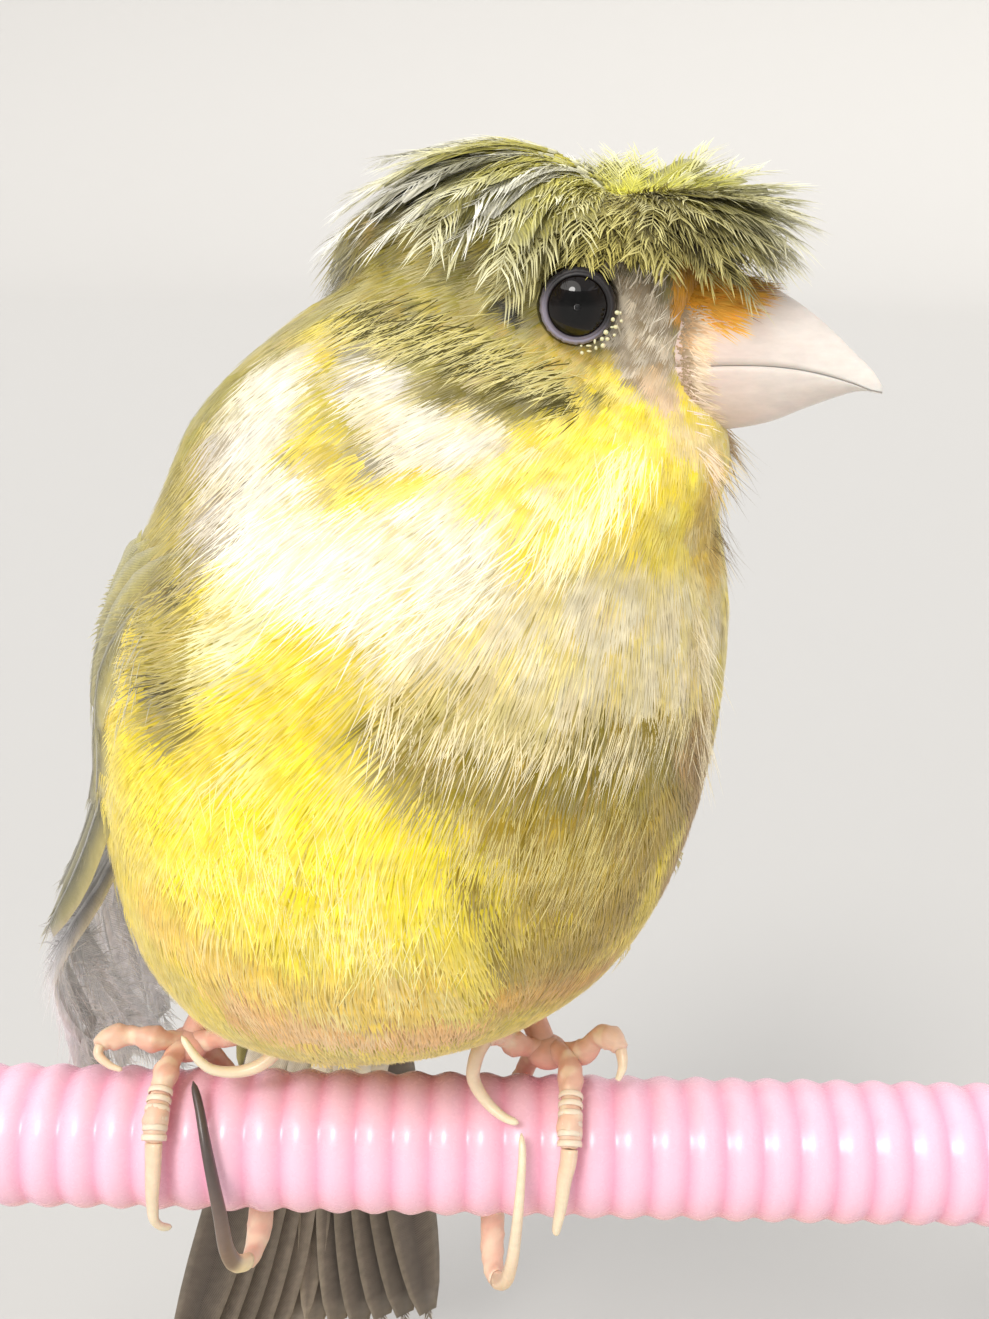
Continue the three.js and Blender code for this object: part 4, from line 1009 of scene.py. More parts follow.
# Crest: soft feathers with loose comb-like barbs, in tiers from a whorl near the front of the crown.
# Four values are for the way ahead, the bird's left, back and the bird's right.
crestForm = {
    "whorl": (3.8, 0.3, 71.4), "seed": 5,
    "tiers": [
        {"start": 0.55, "reach": (10, 8.4, 15.6, 6.6), "tip": (67.4, 66.6, 62.6, 68.5),
         "arch": (1.6, 1.6, 5, 1.2)},
        {"start": 0.4, "reach": (11.2, 9, 18, 6.8), "tip": (68.6, 69.8, 66.6, 69.1),
         "arch": (1.8, 1.6, 5, 1.4)},
        {"start": 0.25, "reach": (11.4, 9, 18, 5.8), "tip": (70.8, 73.4, 71, 70.3),
         "arch": (1.5, 1.2, 4.4, 1.3)},
        {"start": 0.12, "reach": (10, 7.4, 15.4, 4.8), "tip": (72.8, 75, 74.8, 71.3),
         "arch": (0.8, 0.5, 3, 0.8)},
        {"start": 0.05, "reach": (6, 4.6, 8.4, 3.6), "tip": (73.2, 74.2, 74.8, 71.8),
         "arch": (0.5, 0.2, 1.4, 0.5)},
    ],
    # Tier and how many feathers, for each piece
    "rows": {
        "crestUnder": [(0, 46), (0.4, 46), (0.8, 44)], "crestMiddle": [(1.1, 46), (1.5, 46), (1.9, 44)],
        "crestOver": [(2.3, 38), (2.7, 30), (3.1, 26), (3.5, 22), (4, 16)],
    },
    # White and dark feathers at the back, with their shares of the tiers above 1.2 and below
    "streaks": {
        "turns": (120, 229), "shares": (0.36, 0.16), "darkShare": 0.1, "top": 3.6,
        "white": ("#EDEBCF", "#FBFAF2", "#FFFFFC"), "dark": ("#6B6A4A", "#4E4D48", "#E9E6D8"),
    },
    # Base, middle and tip colours every 45 degrees, from ahead round by the bird's left
    "low": [
        ("#74661E", "#4E4416", "#F0EAC4"), ("#8F8936", "#7A732E", "#F6F3DA"),
        ("#A8A244", "#8A843A", "#E9E6A6"), ("#B0A854", "#8A8450", "#FDFBF0"),
        ("#C6BB52", "#968E42", "#FFFDF6"), ("#B8AE42", "#857C36", "#F6F2C0"),
        ("#6C5A14", "#43360C", "#D9CC66"), ("#665614", "#44380E", "#DCD07C"),
    ],
    "high": [
        ("#E6E24A", "#A8A438", "#FDFBE8"), ("#E8E44C", "#CAC648", "#FDFBE8"),
        ("#ECE850", "#D8D44E", "#F8F5BE"), ("#DED95A", "#A9A670", "#FFFEFA"),
        ("#ECE45A", "#CBC450", "#FFFEF8"), ("#F0EA5A", "#E6E07C", "#FFFEF0"),
        ("#EADF40", "#8A7E26", "#F0E890"), ("#EADF40", "#8E8424", "#F6F0B0"),
    ],
    "width": 4.2,
    "look": {
        "web": 0.58, "webEnd": 0.8, "rows": 8, "columns": 2, "barbLength": 2.9, "angle": 48, "tipAngle": 33,
        "spacing": 0.34, "barbWidth": 0.12, "webShade": 0.72, "rachis": 0.08, "rachisColour": None,
        "loose": 4, "ruffle": 0.07, "droop": 0.1, "from": 0.1, "taper": 0.2, "curl": 0.6,
    },
}


def byCompass(values, turn):
    c, s = math.cos(math.radians(turn)), math.sin(math.radians(turn))
    values = np.asarray(values, float)
    return c * c * values[0 if c > 0 else 2] + s * s * values[1 if s > 0 else 3]


def aroundTurn(table, turn):
    # Colours listed every 45 degrees, eased between
    turn = turn % 360 / 45
    i, share = int(turn), turn % 1
    a, b = (np.array([rgb(c) for c in table[k % 8]]) for k in (i, i + 1))
    return mixed(a, b, smooth(0.0, 1.0, share))


def makeCrest():
    rng = np.random.default_rng(crestForm["seed"])
    tiers, whorl, streaks = crestForm["tiers"], crestForm["whorl"], crestForm["streaks"]
    for name, rows in crestForm["rows"].items():
        plumage = Plumage(sum(count for _, count in rows))
        for level, count in rows:
            i = min(int(level), len(tiers) - 2)
            start, reaches, tips, arches = (
                mixed(np.asarray(tiers[i][key], float), np.asarray(tiers[i + 1][key], float), level - i)
                for key in ("start", "reach", "tip", "arch"))
            for k in range(count):
                turn = (k + rng.uniform(-0.35, 0.35) + 0.37 * level) * 360 / count
                reach, arch = byCompass(reaches, turn), byCompass(arches, turn)
                tip = byCompass(tips, turn) + rng.normal(0, 0.3)
                vary = rng.uniform(0.84, 1.03)
                t = mixed(start, 1, np.linspace(0, 1, 9)) * vary
                a = np.radians(turn + rng.normal(0, 9) * t**2)
                rise = mixed(whorl[2], tip, t**1.6) + arch * np.sin(math.pi * t**0.8)
                path = onHead(whorl[0] + np.cos(a) * reach * t, whorl[1] - np.sin(a) * reach * t, rise)
                ups = unit(path - onHead(0.0, 0.0, 56.0) + upward * 6)
                high = np.clip(level / 3.2 + rng.normal(0, 0.14), 0, 1)
                low, top = (aroundTurn(crestForm[key], turn) for key in ("low", "high"))
                colours = mixed(low, top, high)
                chance = rng.uniform()
                if streaks["turns"][0] < turn < streaks["turns"][1] and level < streaks["top"]:
                    white = streaks["shares"][0 if level > 1.2 else 1]
                    if chance < white + streaks["darkShare"]:
                        streak = streaks["white" if chance < white else "dark"]
                        colours = mixed(colours, np.array([rgb(colour) for colour in streak]), 0.75)
                tone = rng.uniform(0.9, 1.1)

                def colourAt(t, out, colours=colours, tone=tone):
                    t, out = np.asarray(t, float)[..., None], np.asarray(out, float)[..., None]
                    along = mixed(colours[0], colours[1], np.clip(t * 2.2, 0, 1))
                    pale = smooth(0.6, 1, t) * 0.6 + smooth(0.6, 1, out) * 0.6
                    return mixed(along, colours[2], np.clip(pale, 0, 1)) * tone

                long = np.linalg.norm(path[-1] - path[0])
                barbLength = crestForm["look"]["barbLength"] * rng.uniform(0.85, 1.15)
                look = {**crestForm["look"], "barbLength": barbLength * np.clip(long / 7, 0.5, 1)}
                width = crestForm["width"] * np.clip(long / 8, 0.35, 1)
                plumage.feather(leaned(path), ups, width, colourAt, rng, look)
        crest = plumage.piece(name, vaneMaterial)
        settle(crest, "crest_feathers", *(["crest"] if name == "crestOver" else []))


makeCrest()


# Bill: upright sections from inside the face to the tip. How far ahead, culmen, underside, half width
# and the level of the mouth line.
billForm = {
    "sections": [
        (5.6, 67.6, 59.4, 3.3, 63), (8.6, 68.3, 58.8, 3.9, 63), (11.5, 67.9, 59, 3.55, 63.1),
        (13.5, 67.1, 59.5, 3.05, 63.05), (15.3, 66, 60.3, 2.4, 62.8), (16.9, 64.7, 60.95, 1.75, 62.4),
        (18.2, 63.5, 61.4, 1.1, 61.95), (19.3, 62.45, 61.5, 0.5, 61.5), (19.8, 61.7, 61.55, 0.12, 61.4),
    ],
    "mouthGap": 0.035, "nostril": (10.4, 2.7, 66),
    "base": "#DFC8BE", "middle": "#E5DAD2", "tip": "#E9E2DA",
}


def easedColumns(table, at):
    # Cubic easing through a table's rows, by its first column
    table = np.asarray(table, float)
    slopes = np.gradient(table, table[:, 0], axis=0)
    i = np.clip(np.searchsorted(table[:, 0], at) - 1, 0, len(table) - 2)
    span = (table[i + 1, 0] - table[i, 0])[:, None]
    t = ((at - table[i, 0])[:, None]) / span
    made = (2 * t**3 - 3 * t**2 + 1) * table[i] + (t**3 - 2 * t**2 + t) * slopes[i] * span
    return made + (3 * t**2 - 2 * t**3) * table[i + 1] + (t**3 - t**2) * slopes[i + 1] * span


# Bill horn: thin keratin over bone, satin, a little translucent, with faint growth lines
def makeHornMaterial(name, roughness=0.32, bump=0.02):
    material, tree, shader = newMaterial(
        name, Roughness=roughness, IOR=1.54, Subsurface_Weight=0.25, Subsurface_Scale=0.8 * mm,
        Subsurface_Radius=(1.0, 0.45, 0.3))
    grain = noiseAt(tree, 1.4, 5.0, (1.0, 1.0, 3.0), Roughness=0.6)
    tintPlume(tree, shader, spanned(tree, grain, 0.93, 1.06))
    addBump(tree, shader, grain, 0.6, bump)
    return material


hornMaterial = makeHornMaterial("pale_bill_horn")


def makeBill():
    first, last = billForm["sections"][0][0], billForm["sections"][-1][0]
    ahead = first + (last - first) * np.linspace(0, 1, 64) ** 0.85
    arc = np.linspace(0, math.pi, 25)
    tucks = np.array([-0.9, -0.45, 0, 0.45, 0.9])  # across the flat side towards the mouth
    gap = billForm["mouthGap"] / 2
    horn = []
    for name, up in (("bill_upper", 1), ("bill_lower", -1)):
        rings = []
        for a, (_, top, low, half, mouth) in zip(ahead, easedColumns(billForm["sections"], ahead)):
            half, reach = max(half, 0.08), (top - mouth if up > 0 else mouth - low)
            level = mouth + up * (gap + np.sin(arc) ** 1.12 * max(reach, 0.05))
            right = np.cos(arc) * half * (1 - 0.06 * np.sin(arc) ** 2)
            levels = np.concatenate([level, np.full(len(tucks), mouth + up * (gap + 0.06))])
            rings.append(onHead(a, np.concatenate([right, tucks * half]), levels))
        around = len(rings[0])
        points = np.concatenate([*rings, [rings[0].mean(0), rings[-1].mean(0)]])
        ring = np.arange(around)
        wall = gridFaces(len(rings), around)
        tipCap = fan(len(points) - 1, (len(rings) - 1) * around + ring, up < 0)
        faces = np.concatenate([wall[:, ::-1] if up > 0 else wall, tipCap,
                                fan(len(points) - 2, ring, up > 0)])
        share = np.concatenate([np.repeat((ahead - 8) / 11.8, around), [0, 1]])[:, None]
        colours = mixed(rgb(billForm["base"]), rgb(billForm["middle"]), np.clip(share * 2, 0, 1))
        colours = mixed(colours, rgb(billForm["tip"]), np.clip(share * 2 - 1, 0, 1))
        for side in (1, -1):
            nostril = onHead(billForm["nostril"][0], side * billForm["nostril"][1], billForm["nostril"][2])
            offset = points - nostril
            away = np.stack([offset @ forward / 0.75, offset @ headRight / 0.9, offset[:, 2] / 0.42])
            dent = (1 - smooth(0.3, 1.1, np.sqrt((away**2).sum(0))))[:, None]
            points = points - headRight * side * 0.45 * dent
            # Painted shade: each nostril dent is painted dark brown for the shade inside the opening
            colours = mixed(colours, rgb("#4A2F28"), dent * 0.85)
        horn.append((leaned(points), faces))
        piece = makePiece(name + "_horn", *horn[-1], hornMaterial, colours)
        facingOut(piece)
        settle(piece, "bill", name)
    return treeOf(*joined(horn))


def facingOut(piece):
    work = bmesh.new()
    work.from_mesh(piece.data)
    bmesh.ops.recalc_face_normals(work, faces=work.faces)
    work.to_mesh(piece.data)
    work.free()


billTree = makeBill()


# Bristles and stray barbs, by pixel paths of the picture. Wide is in pixels, way points the same as
# the lie, lift raises them off the skin, and mirror makes the same on the head's far side.
strandPatches = {
    "foreheadBristles": [
        {"seen": [(720, 276), (708, 292), (698, 310)], "wide": 9, "count": 260, "way": (0.8, 0.45),
         "lift": 0.16,
         "length": (2, 3.6), "thick": 0.13, "colours": ("#EFA52C", "#FFD060"), "onBill": True},
        {"seen": [(738, 280), (724, 296)], "wide": 5, "count": 60, "way": (0.85, 0.4), "lift": 0.14,
         "length": (2, 3.2), "thick": 0.1, "colours": ("#C98A34", "#F3C26A"), "onBill": True},
        {"seen": [(698, 310), (688, 330), (682, 352)], "wide": 6, "count": 120, "way": (0.8, 0.4),
         "lift": 0.22,
         "length": (1.2, 2.4), "thick": 0.11, "colours": ("#D8B083", "#F7E0C2"), "onBill": True},
        {"seen": [(716, 274), (730, 282), (720, 296)], "wide": 5, "count": 16, "way": (0.8, 0.5),
         "lift": 0.25,
         "length": (2.4, 3.8), "thick": 0.08, "colours": ("#5E431C", "#8E6424"), "onBill": True},
    ],
    "joinBristles": [
        {"seen": [(692, 266), (688, 285), (686, 305)], "wide": 6, "count": 200, "way": (0.85, 0.4),
         "lift": 0.2,
         "length": (2, 3.4), "thick": 0.13, "colours": ("#EFA52C", "#FFD060"), "onBill": True},
        {"seen": [(685, 305), (683, 345), (686, 385), (696, 418)], "wide": 5, "count": 300,
         "way": (0.85, 0.2), "lift": 0.25,
         "length": (1, 2.2), "thick": 0.12, "colours": ("#B59C7C", "#F5E6CE"), "onBill": True},
    ],
    "loresBristles": [
        {"seen": [(612, 292), (618, 330), (622, 352)], "wide": 11, "count": 80, "way": (-0.45, -0.7),
         "lift": 0.6,
         "length": (1.3, 2.4), "thick": 0.11, "colours": ("#B9AA92", "#FBF3E0")},
        {"seen": [(640, 296), (648, 335), (652, 372)], "wide": 13, "count": 110, "way": (0.3, -0.6),
         "lift": 0.6,
         "length": (1.5, 2.8), "thick": 0.11, "colours": ("#C2B29A", "#FDF6E6")},
        {"seen": [(672, 340), (668, 370), (674, 400), (686, 420)], "wide": 7, "count": 110,
         "way": (0.85, 0.1), "lift": 0.45,
         "length": (1.6, 2.8), "thick": 0.12, "colours": ("#DDBFA8", "#FBEFE2")},
        {"seen": [(684, 352), (684, 380), (692, 405), (704, 420)], "wide": 4, "count": 130,
         "way": (0.8, 0.25), "lift": 0.25,
         "length": (0.9, 1.8), "thick": 0.1, "colours": ("#E3C6B2", "#FBEFE2"), "onBill": True},
    ],
    "chinBristles": [
        {"seen": [(690, 428), (706, 440), (716, 462)], "wide": 8, "count": 110, "way": (0.6, 0.75),
         "lift": 0.35,
         "length": (1.8, 3.2), "thick": 0.12, "colours": ("#E6CBA6", "#FBEED6")},
        {"seen": [(712, 440), (716, 480), (714, 520), (716, 560)], "wide": 6, "count": 120,
         "way": (0.6, 0.75), "lift": 0.5,
         "length": (2.2, 4), "thick": 0.09, "colours": ("#D9B95E", "#F0DC9A")},
        {"seen": [(716, 450), (718, 500), (716, 545)], "wide": 4, "count": 30, "way": (0.6, 0.75),
         "lift": 0.8,
         "length": (3, 4.6), "thick": 0.07, "colours": ("#8C7440", "#6A5630")},
    ],
    "bibStrays": [
        {"seen": [(390, 690), (470, 712), (560, 728), (640, 728), (698, 700)], "wide": 30, "count": 300,
         "way": (-0.25, 0.95),
         "lift": 0.1, "length": (3.2, 5), "thick": 0.08, "colours": ("#E9D894", "#FFF6DC")},
        {"seen": [(700, 600), (708, 680), (704, 760)], "wide": 8, "count": 90, "way": (0.45, 0.9),
         "lift": 0.4,
         "length": (2.6, 4.4), "thick": 0.08, "colours": ("#E7D6A4", "#F7EFD8")},
        {"seen": [(170, 820), (260, 850), (350, 900), (430, 950)], "wide": 60, "count": 420,
         "way": (-0.1, 1),
         "lift": 0.07, "length": (3, 5), "thick": 0.07, "colours": ("#FFEC70", "#FFF9C8")},
        {"seen": [(430, 780), (520, 820), (600, 850), (640, 800)], "wide": 38, "count": 420,
         "way": (-0.15, 1),
         "lift": 0.07, "length": (3, 5), "thick": 0.07, "colours": ("#C9B450", "#EFE4A8")},
        {"seen": [(350, 320), (440, 335), (520, 350), (585, 385)], "wide": 22, "count": 420,
         "way": (-0.9, 0.4),
         "lift": 0.12, "length": (1.6, 3), "thick": 0.06, "colours": ("#C4B654", "#EFE8B4")},
        {"seen": [(350, 310), (440, 330), (520, 360), (590, 395)], "wide": 20, "count": 300,
         "way": (-0.9, 0.4),
         "lift": 0.08, "length": (1.6, 3), "thick": 0.07, "colours": ("#57501F", "#4A441C")},
        {"seen": [(650, 420), (610, 490), (560, 550)], "wide": 26, "count": 300, "way": (-0.4, 0.9),
         "lift": 0.1, "length": (2, 3.6), "thick": 0.07, "colours": ("#FFF3A0", "#FFFDE8")},
        {"seen": [(130, 540), (120, 620), (120, 700)], "wide": 22, "count": 160, "way": (-0.6, 0.6),
         "lift": 0.15, "length": (2, 3.4), "thick": 0.08, "colours": ("#4E4A2C", "#F4F0D8")},
        {"seen": [(250, 500), (330, 570), (430, 600), (520, 560)], "wide": 40, "count": 380,
         "way": (-0.75, 0.6),
         "lift": 0.1, "length": (3, 4.6), "thick": 0.08, "colours": ("#FBF4D0", "#FFFFF8")},
    ],
}


def strandRoots(patch, rng, rootDepth):
    # Places, ways and normals of a patch's strands, those that miss the bird left out
    right, up, _ = viewAxes
    onBill = patch.get("onBill", False)
    line = np.array(patch["seen"], float)
    found = []
    for _ in range(patch["count"]):
        t = rng.uniform(0, len(line) - 1)
        i = min(int(t), len(line) - 2)
        pixel = mixed(line[i], line[i + 1], t - i) + rng.normal(0, 0.55, 2) * patch["wide"]
        hit = seen(*pixel, billTree if onBill else outside)
        if hit is None:
            continue
        place, normal = hit
        across, down = patch["way"]
        flat = right * (across + rng.normal(0, 0.16)) - up * (down + rng.normal(0, 0.16))
        way = unit(flat - (flat @ normal) * normal)
        way = unit(way + normal * patch["lift"] * rng.uniform(0.4, 1.5))
        found.append((place - normal * (0.15 if onBill else rootDepth), way, normal))
    return found


def layStrands(material):
    rng = np.random.default_rng(3)
    for name, patches in strandPatches.items():
        strays = name == "bibStrays"
        rootDepth, bend = (0.25, 0.1) if strays else (0.7, 0.25)  # strays lie on the coat
        parts = []
        for patch in patches:
            found = strandRoots(patch, rng, rootDepth)
            if not strays:  # the same on the head's far side
                found = [each for base, way, normal in found for each in (
                    (base, way, normal),
                    (base - acrossHead(base - headCentre), way - acrossHead(way),
                     normal - acrossHead(normal)))]
            bases, ways, normals = (np.array(rows) for rows in zip(*found))
            n = len(bases)
            length = rng.uniform(*patch["length"], n)[:, None]
            half = bases + ways * length * 0.5
            tips = half + unit(ways - normals * bend) * length * 0.5
            tone = rng.uniform(0.85, 1.1, n)[:, None]
            base, tip = (rgb(colour) for colour in patch["colours"])
            # Each strand's base is painted 20 % darker: painted shade where it leaves the coat
            shades = (base * tone * 0.8, mixed(base, tip, 0.4) * tone, np.clip(tip * tone, 0, 1))
            laid = barbs(bases, half, tips, normals, patch["thick"], shades)
            parts.append((*laid, barbMap(unwrapped(bases), 0, 1)))
        points, faces, colours, maps = joined(parts)
        piece = makePiece(name, points, faces, material, colours, False)
        piece.visible_shadow = False
        writeMap(piece, "OFBake", maps)
        settle(piece, "collar_feathers" if strays else "head_feathers")
        print(name, len(points) // 7, "strands")


layStrands(featherMaterial)


def newTree(name, **inputs):
    # A Geometry Nodes tree with its named inputs, and the sockets of its input node
    tree = bpy.data.node_groups.new(name, "GeometryNodeTree")
    for key, kind in {"Geometry": "Geometry", **inputs, "Finish": "Material"}.items():
        tree.interface.new_socket(name=key, in_out="INPUT", socket_type="NodeSocket" + kind)
    tree.interface.new_socket(name="Geometry", in_out="OUTPUT", socket_type="NodeSocketGeometry")
    return tree, addNode(tree, "NodeGroupInput").outputs


def stepsAlong(tree, start):
    # Even steps along the edges of the piece
    path = addNode(tree, "GeometryNodeMeshToCurve", {"Mesh": start["Geometry"]}).outputs["Curve"]
    links = {"Curve": path, "Length": start["Spacing"]}
    return addNode(tree, "GeometryNodeResampleCurve", links, mode="LENGTH").outputs["Curve"]


def closeTree(tree, start, geometry, rounded=True):
    made = addNode(tree, "GeometryNodeRealizeInstances", {"Geometry": geometry}).outputs[0]
    if rounded:
        made = addNode(tree, "GeometryNodeSetShadeSmooth", {0: made}).outputs[0]
    finished = addNode(tree, "GeometryNodeSetMaterial", {"Geometry": made, "Material": start["Finish"]})
    addNode(tree, "NodeGroupOutput", {"Geometry": finished.outputs[0]})
    return tree


def runTree(name, tree, points, edges, inputs, vectors=None):
    # Runs a Geometry Nodes tree on a small mesh and keeps the result as a plain mesh
    mesh = bpy.data.meshes.new(name)
    mesh.from_pydata(np.asarray(points, float) * mm, edges, [])
    for key, values in (vectors or {}).items():
        writeVectors(mesh, key, values)
    piece = newObject(name, mesh)
    modifier = piece.modifiers.new("made", "NODES")
    modifier.node_group = tree
    for item in tree.interface.items_tree:
        if item.in_out == "INPUT" and item.name in inputs:
            modifier[item.identifier] = inputs[item.name]
    return evaluated(piece)


# Eyes: a dark wet ball, with a rim of bare lilac-grey skin and a few pale bead-like feathers below it
def makeEyeMaterial():
    material, tree, shader = newMaterial("wet_eye", Roughness=0.04, IOR=1.4)
    tintPlume(tree, shader, spanned(tree, noiseAt(tree, 0.5, 2.0), 0.6, 1.4, (0.0, 1.0)))
    return material


def makeBeadTree():
    # Small uneven beads at even steps along a path
    tree, start = newTree("lidBeads", Spacing="Float", Radius="Float", Seed="Int")
    bead = addNode(tree, "GeometryNodeMeshIcoSphere", {"Radius": start["Radius"], "Subdivisions": 2})
    links = {"Seed": start["Seed"], "Min": (0.45, 0.45, 0.45), "Max": (1.35, 1.35, 1.2)}
    sizes = addNode(tree, "FunctionNodeRandomValue", links, data_type="FLOAT_VECTOR")
    links = {"Points": stepsAlong(tree, start), "Instance": bead.outputs["Mesh"],
             "Scale": sizes.outputs["Value"]}
    placed = addNode(tree, "GeometryNodeInstanceOnPoints", links)
    return closeTree(tree, start, placed.outputs["Instances"])


def makeEyes():
    eyeMaterial = makeEyeMaterial()
    lidMaterial = makeHornMaterial("bare_lid_skin", 0.55, 0.05)
    beadTree = makeBeadTree()
    rim, beads = eyeForm["rim"], eyeForm["beads"]
    around = 72
    for name, side in (("right", 1), ("left", -1)):
        centre, opening, out = eyePlace(side)
        first = unit(np.cross(out, upward))
        second = np.cross(out, first)
        points, faces = ellipsoidMesh(centre, np.array([first, second, out]) * eyeForm["ball"])
        across = np.linalg.norm((points - centre) - ((points - centre) @ out)[:, None] * out, axis=1)
        colours = mixed(rgb("#020202"), rgb("#0E0806"), smooth(0.95, 1.1, across)[:, None])
        ball = makePiece("eyeball_" + name, points, faces, eyeMaterial, colours)
        facingOut(ball)
        settle(ball, "eye", "eye_" + name)
        # The rim: a soft ring from the ball's edge out to the feathers
        a = np.linspace(0, 2 * math.pi, around, endpoint=False)
        rings = []
        for r, h in rim:
            r = r * eyeForm["opening"] / 1.84
            wavy = (r + (0.02 * np.sin(23 * a + r * 5) + 0.02 * np.sin(37 * a)) * (r > 1.9))[:, None]
            ringWays = np.cos(a)[:, None] * first + np.sin(a)[:, None] * second
            rings.append(opening + ringWays * wavy + out * h)
        points = np.concatenate(rings)
        ring = np.arange(around)
        last = (len(rim) - 1) * around
        after = last + (ring + 1) % around
        closing = [np.stack([last + ring, after, after - last], -1),
                   np.stack([last + ring, after - last, ring], -1)]
        shade = np.repeat(np.linspace(0, 1, len(rim)), around)[:, None]
        colours = mixed(rgb("#3E373E"), rgb("#8E8796"), smooth(0.05, 0.45, shade))
        # Painted shade: the rim is painted almost black above and ahead, and keeps its own lilac-grey below
        # and behind
        low = smooth(-0.6, 1.8, (points - opening) @ (-upward - forward * 0.6))[:, None]
        colours = mixed(colours * np.array([0.05, 0.045, 0.04]), colours, low)  # darker above and ahead
        faces = np.concatenate([gridFaces(len(rim), around), *closing])
        lid = makePiece("lid_" + name, points, faces, lidMaterial, colours)
        facingOut(lid)
        settle(lid, "eye")
        # Beads along the lower front of the rim, from straight below to the front
        turns = np.radians(np.linspace(*beads["turns"], 24))[:, None]
        arcs = []
        for radius, height in beads["rows"]:
            wavy = radius + 0.1 * np.sin(turns * 17 + radius * 9)
            arcs.append(opening + wavy * (np.sin(turns) * forward - np.cos(turns) * upward) + out * height)
        edges = [(k, k + 1) for k in range(47) if k != 23]
        inputs = {
            "Spacing": beads["spacing"] * mm, "Radius": beads["radius"] * mm, "Seed": 4 + side,
            "Finish": lidMaterial,
        }
        made = runTree("lid_beads_" + name, beadTree, np.concatenate(arcs), edges, inputs)
        writePlume(made.data, rgb(beads["colour"]))
        settle(made, "eye")


makeEyes()


# Wings: overlapping feathers in tiers over the flank. The right wing droops and is frayed at its tip.
# Each tier runs from its front feather to its back one: root and tip levels, their turns round the
# trunk, how far out it lies and how wide its feathers are.
wingForm = {
    "low": 27, "seed": 8,
    "sides": [
        {"side": -1, "name": "wing_right", "flare": 7.2, "lag": 0},
        {"side": 1, "name": "wing_left", "flare": 2, "lag": 8},
    ],
    # Each pair of values is for the tier's first and last feather
    "tiers": {
        "primaries": {"count": 9, "root": (30, 22), "rootTurn": (88, 112), "tip": (4, -8),
                      "tipTurn": (118, 150), "out": (-1.8, -1.0), "width": 6.4},
        "secondaries": {"count": 9, "root": (38, 30), "rootTurn": (104, 156), "tip": (-5, -1),
                        "tipTurn": (122, 172), "out": (-0.9, 0.1), "width": 7.6},
        "greaterCoverts": {"count": 8, "root": (44, 40), "rootTurn": (86, 150), "tip": (22, 27),
                           "tipTurn": (94, 160), "out": (-0.4, 0.5), "width": 7},
        "medianCoverts": {"count": 8, "root": (48, 45), "rootTurn": (84, 142), "tip": (33, 36),
                          "tipTurn": (88, 152), "out": (0, 0.8), "width": 6.6},
        "lesserCoverts": {"count": 8, "root": (52, 50), "rootTurn": (84, 136), "tip": (40, 42),
                          "tipTurn": (86, 146), "out": (0.2, 0.9), "width": 6},
    },
    # Rachis side, vane and edge colours of each tier
    "colours": {
        "primaries": ("#4A4644", "#6E6863", "#D9D4CC"), "secondaries": ("#4E4A42", "#6F6A55", "#D9D3B4"),
        "greaterCoverts": ("#57512F", "#7D7540", "#E3DDB8"), "medianCoverts": ("#6A6238", "#9A9152",
                                                                               "#E9E2B4"),
        "lesserCoverts": ("#8A8250", "#A89F5E", "#DAD29A"),
    },
    "spans": {"vane": (0.1, 0.6), "edge": (0.72, 0.8), "tip": (0.9, 0.35)},
    "look": {
        "web": 0.8, "webEnd": 0.95, "rows": 12, "columns": 6, "barbLength": 3.2, "angle": 38,
        "spacing": 0.42, "barbWidth": 0.13, "rachis": 0.22, "loose": 3, "ruffle": 0.03, "droop": 0.03,
        "from": 0.25, "thick": 0.16,
    },
    "frayed": {"web": 0.5, "loose": 13, "ruffle": 0.1, "barbLength": 5.2, "spacing": 0.3, "webShade": 1.0},
}


def onWing(wing, level, turn, out):
    level, turn, out = np.broadcast_arrays(np.asarray(level, float), turn, out)
    flare = wing["flare"] * (1 - smooth(14, 36, level))
    point = onBody(np.maximum(level, wingForm["low"]), wing["side"] * turn, out + flare)
    free = np.clip((wingForm["low"] - level) / 40, 0, 1)
    point = point - headingOf(np.float64(birdForm["bodyHeading"])) * (6 * free)[..., None]
    point[..., 2] = perchHeight + level
    return point


def makeWings():
    for wing in wingForm["sides"]:
        rng = np.random.default_rng(wingForm["seed"] + wing["side"])
        plumage = Plumage(sum(tier["count"] for tier in wingForm["tiers"].values()))
        for name, tier in wingForm["tiers"].items():
            frayed = wing["side"] < 0 and name in ("primaries", "secondaries")
            look = {**wingForm["look"], **(wingForm["frayed"] if frayed else {})}
            for i in range(tier["count"]):
                k = i / (tier["count"] - 1)
                rootLevel, rootTurn, tipLevel, tipTurn, layer = (
                    mixed(*tier[key], k) for key in ("root", "rootTurn", "tip", "tipTurn", "out"))
                tipLevel += rng.normal(0, 0.6)
                t = np.linspace(0, 1, 12)
                turn = wing["lag"] + mixed(rootTurn, tipTurn, t**1.15) + rng.normal(0, 0.8)
                out = layer + 0.8 * smooth(0, 0.7, t) - 0.8 + rng.uniform(0, 0.15)
                level = mixed(rootLevel, tipLevel, t)
                path = onWing(wing, level, turn, out)
                ups = unit(path - onWing(wing, level, turn, out - 6))
                tone = rng.uniform(0.88, 1.12)
                whitened = (0.15 if i % 4 == 1 else 0.85) if frayed else 0  # towards the hanging tips
                colourAt = vaneShades(wingForm["colours"][name], wingForm["spans"], tone, whitened)
                plumage.feather(leaned(path), ups, tier["width"], colourAt, rng, look)
        piece = plumage.piece(wing["name"] + "_feathers",
                              thinVaneMaterial if wing["side"] < 0 else vaneMaterial)
        piece.visible_shadow = wing["side"] > 0  # the worn wing's thin vanes let light through
        settle(piece, "wing_feathers", wing["name"])


makeWings()


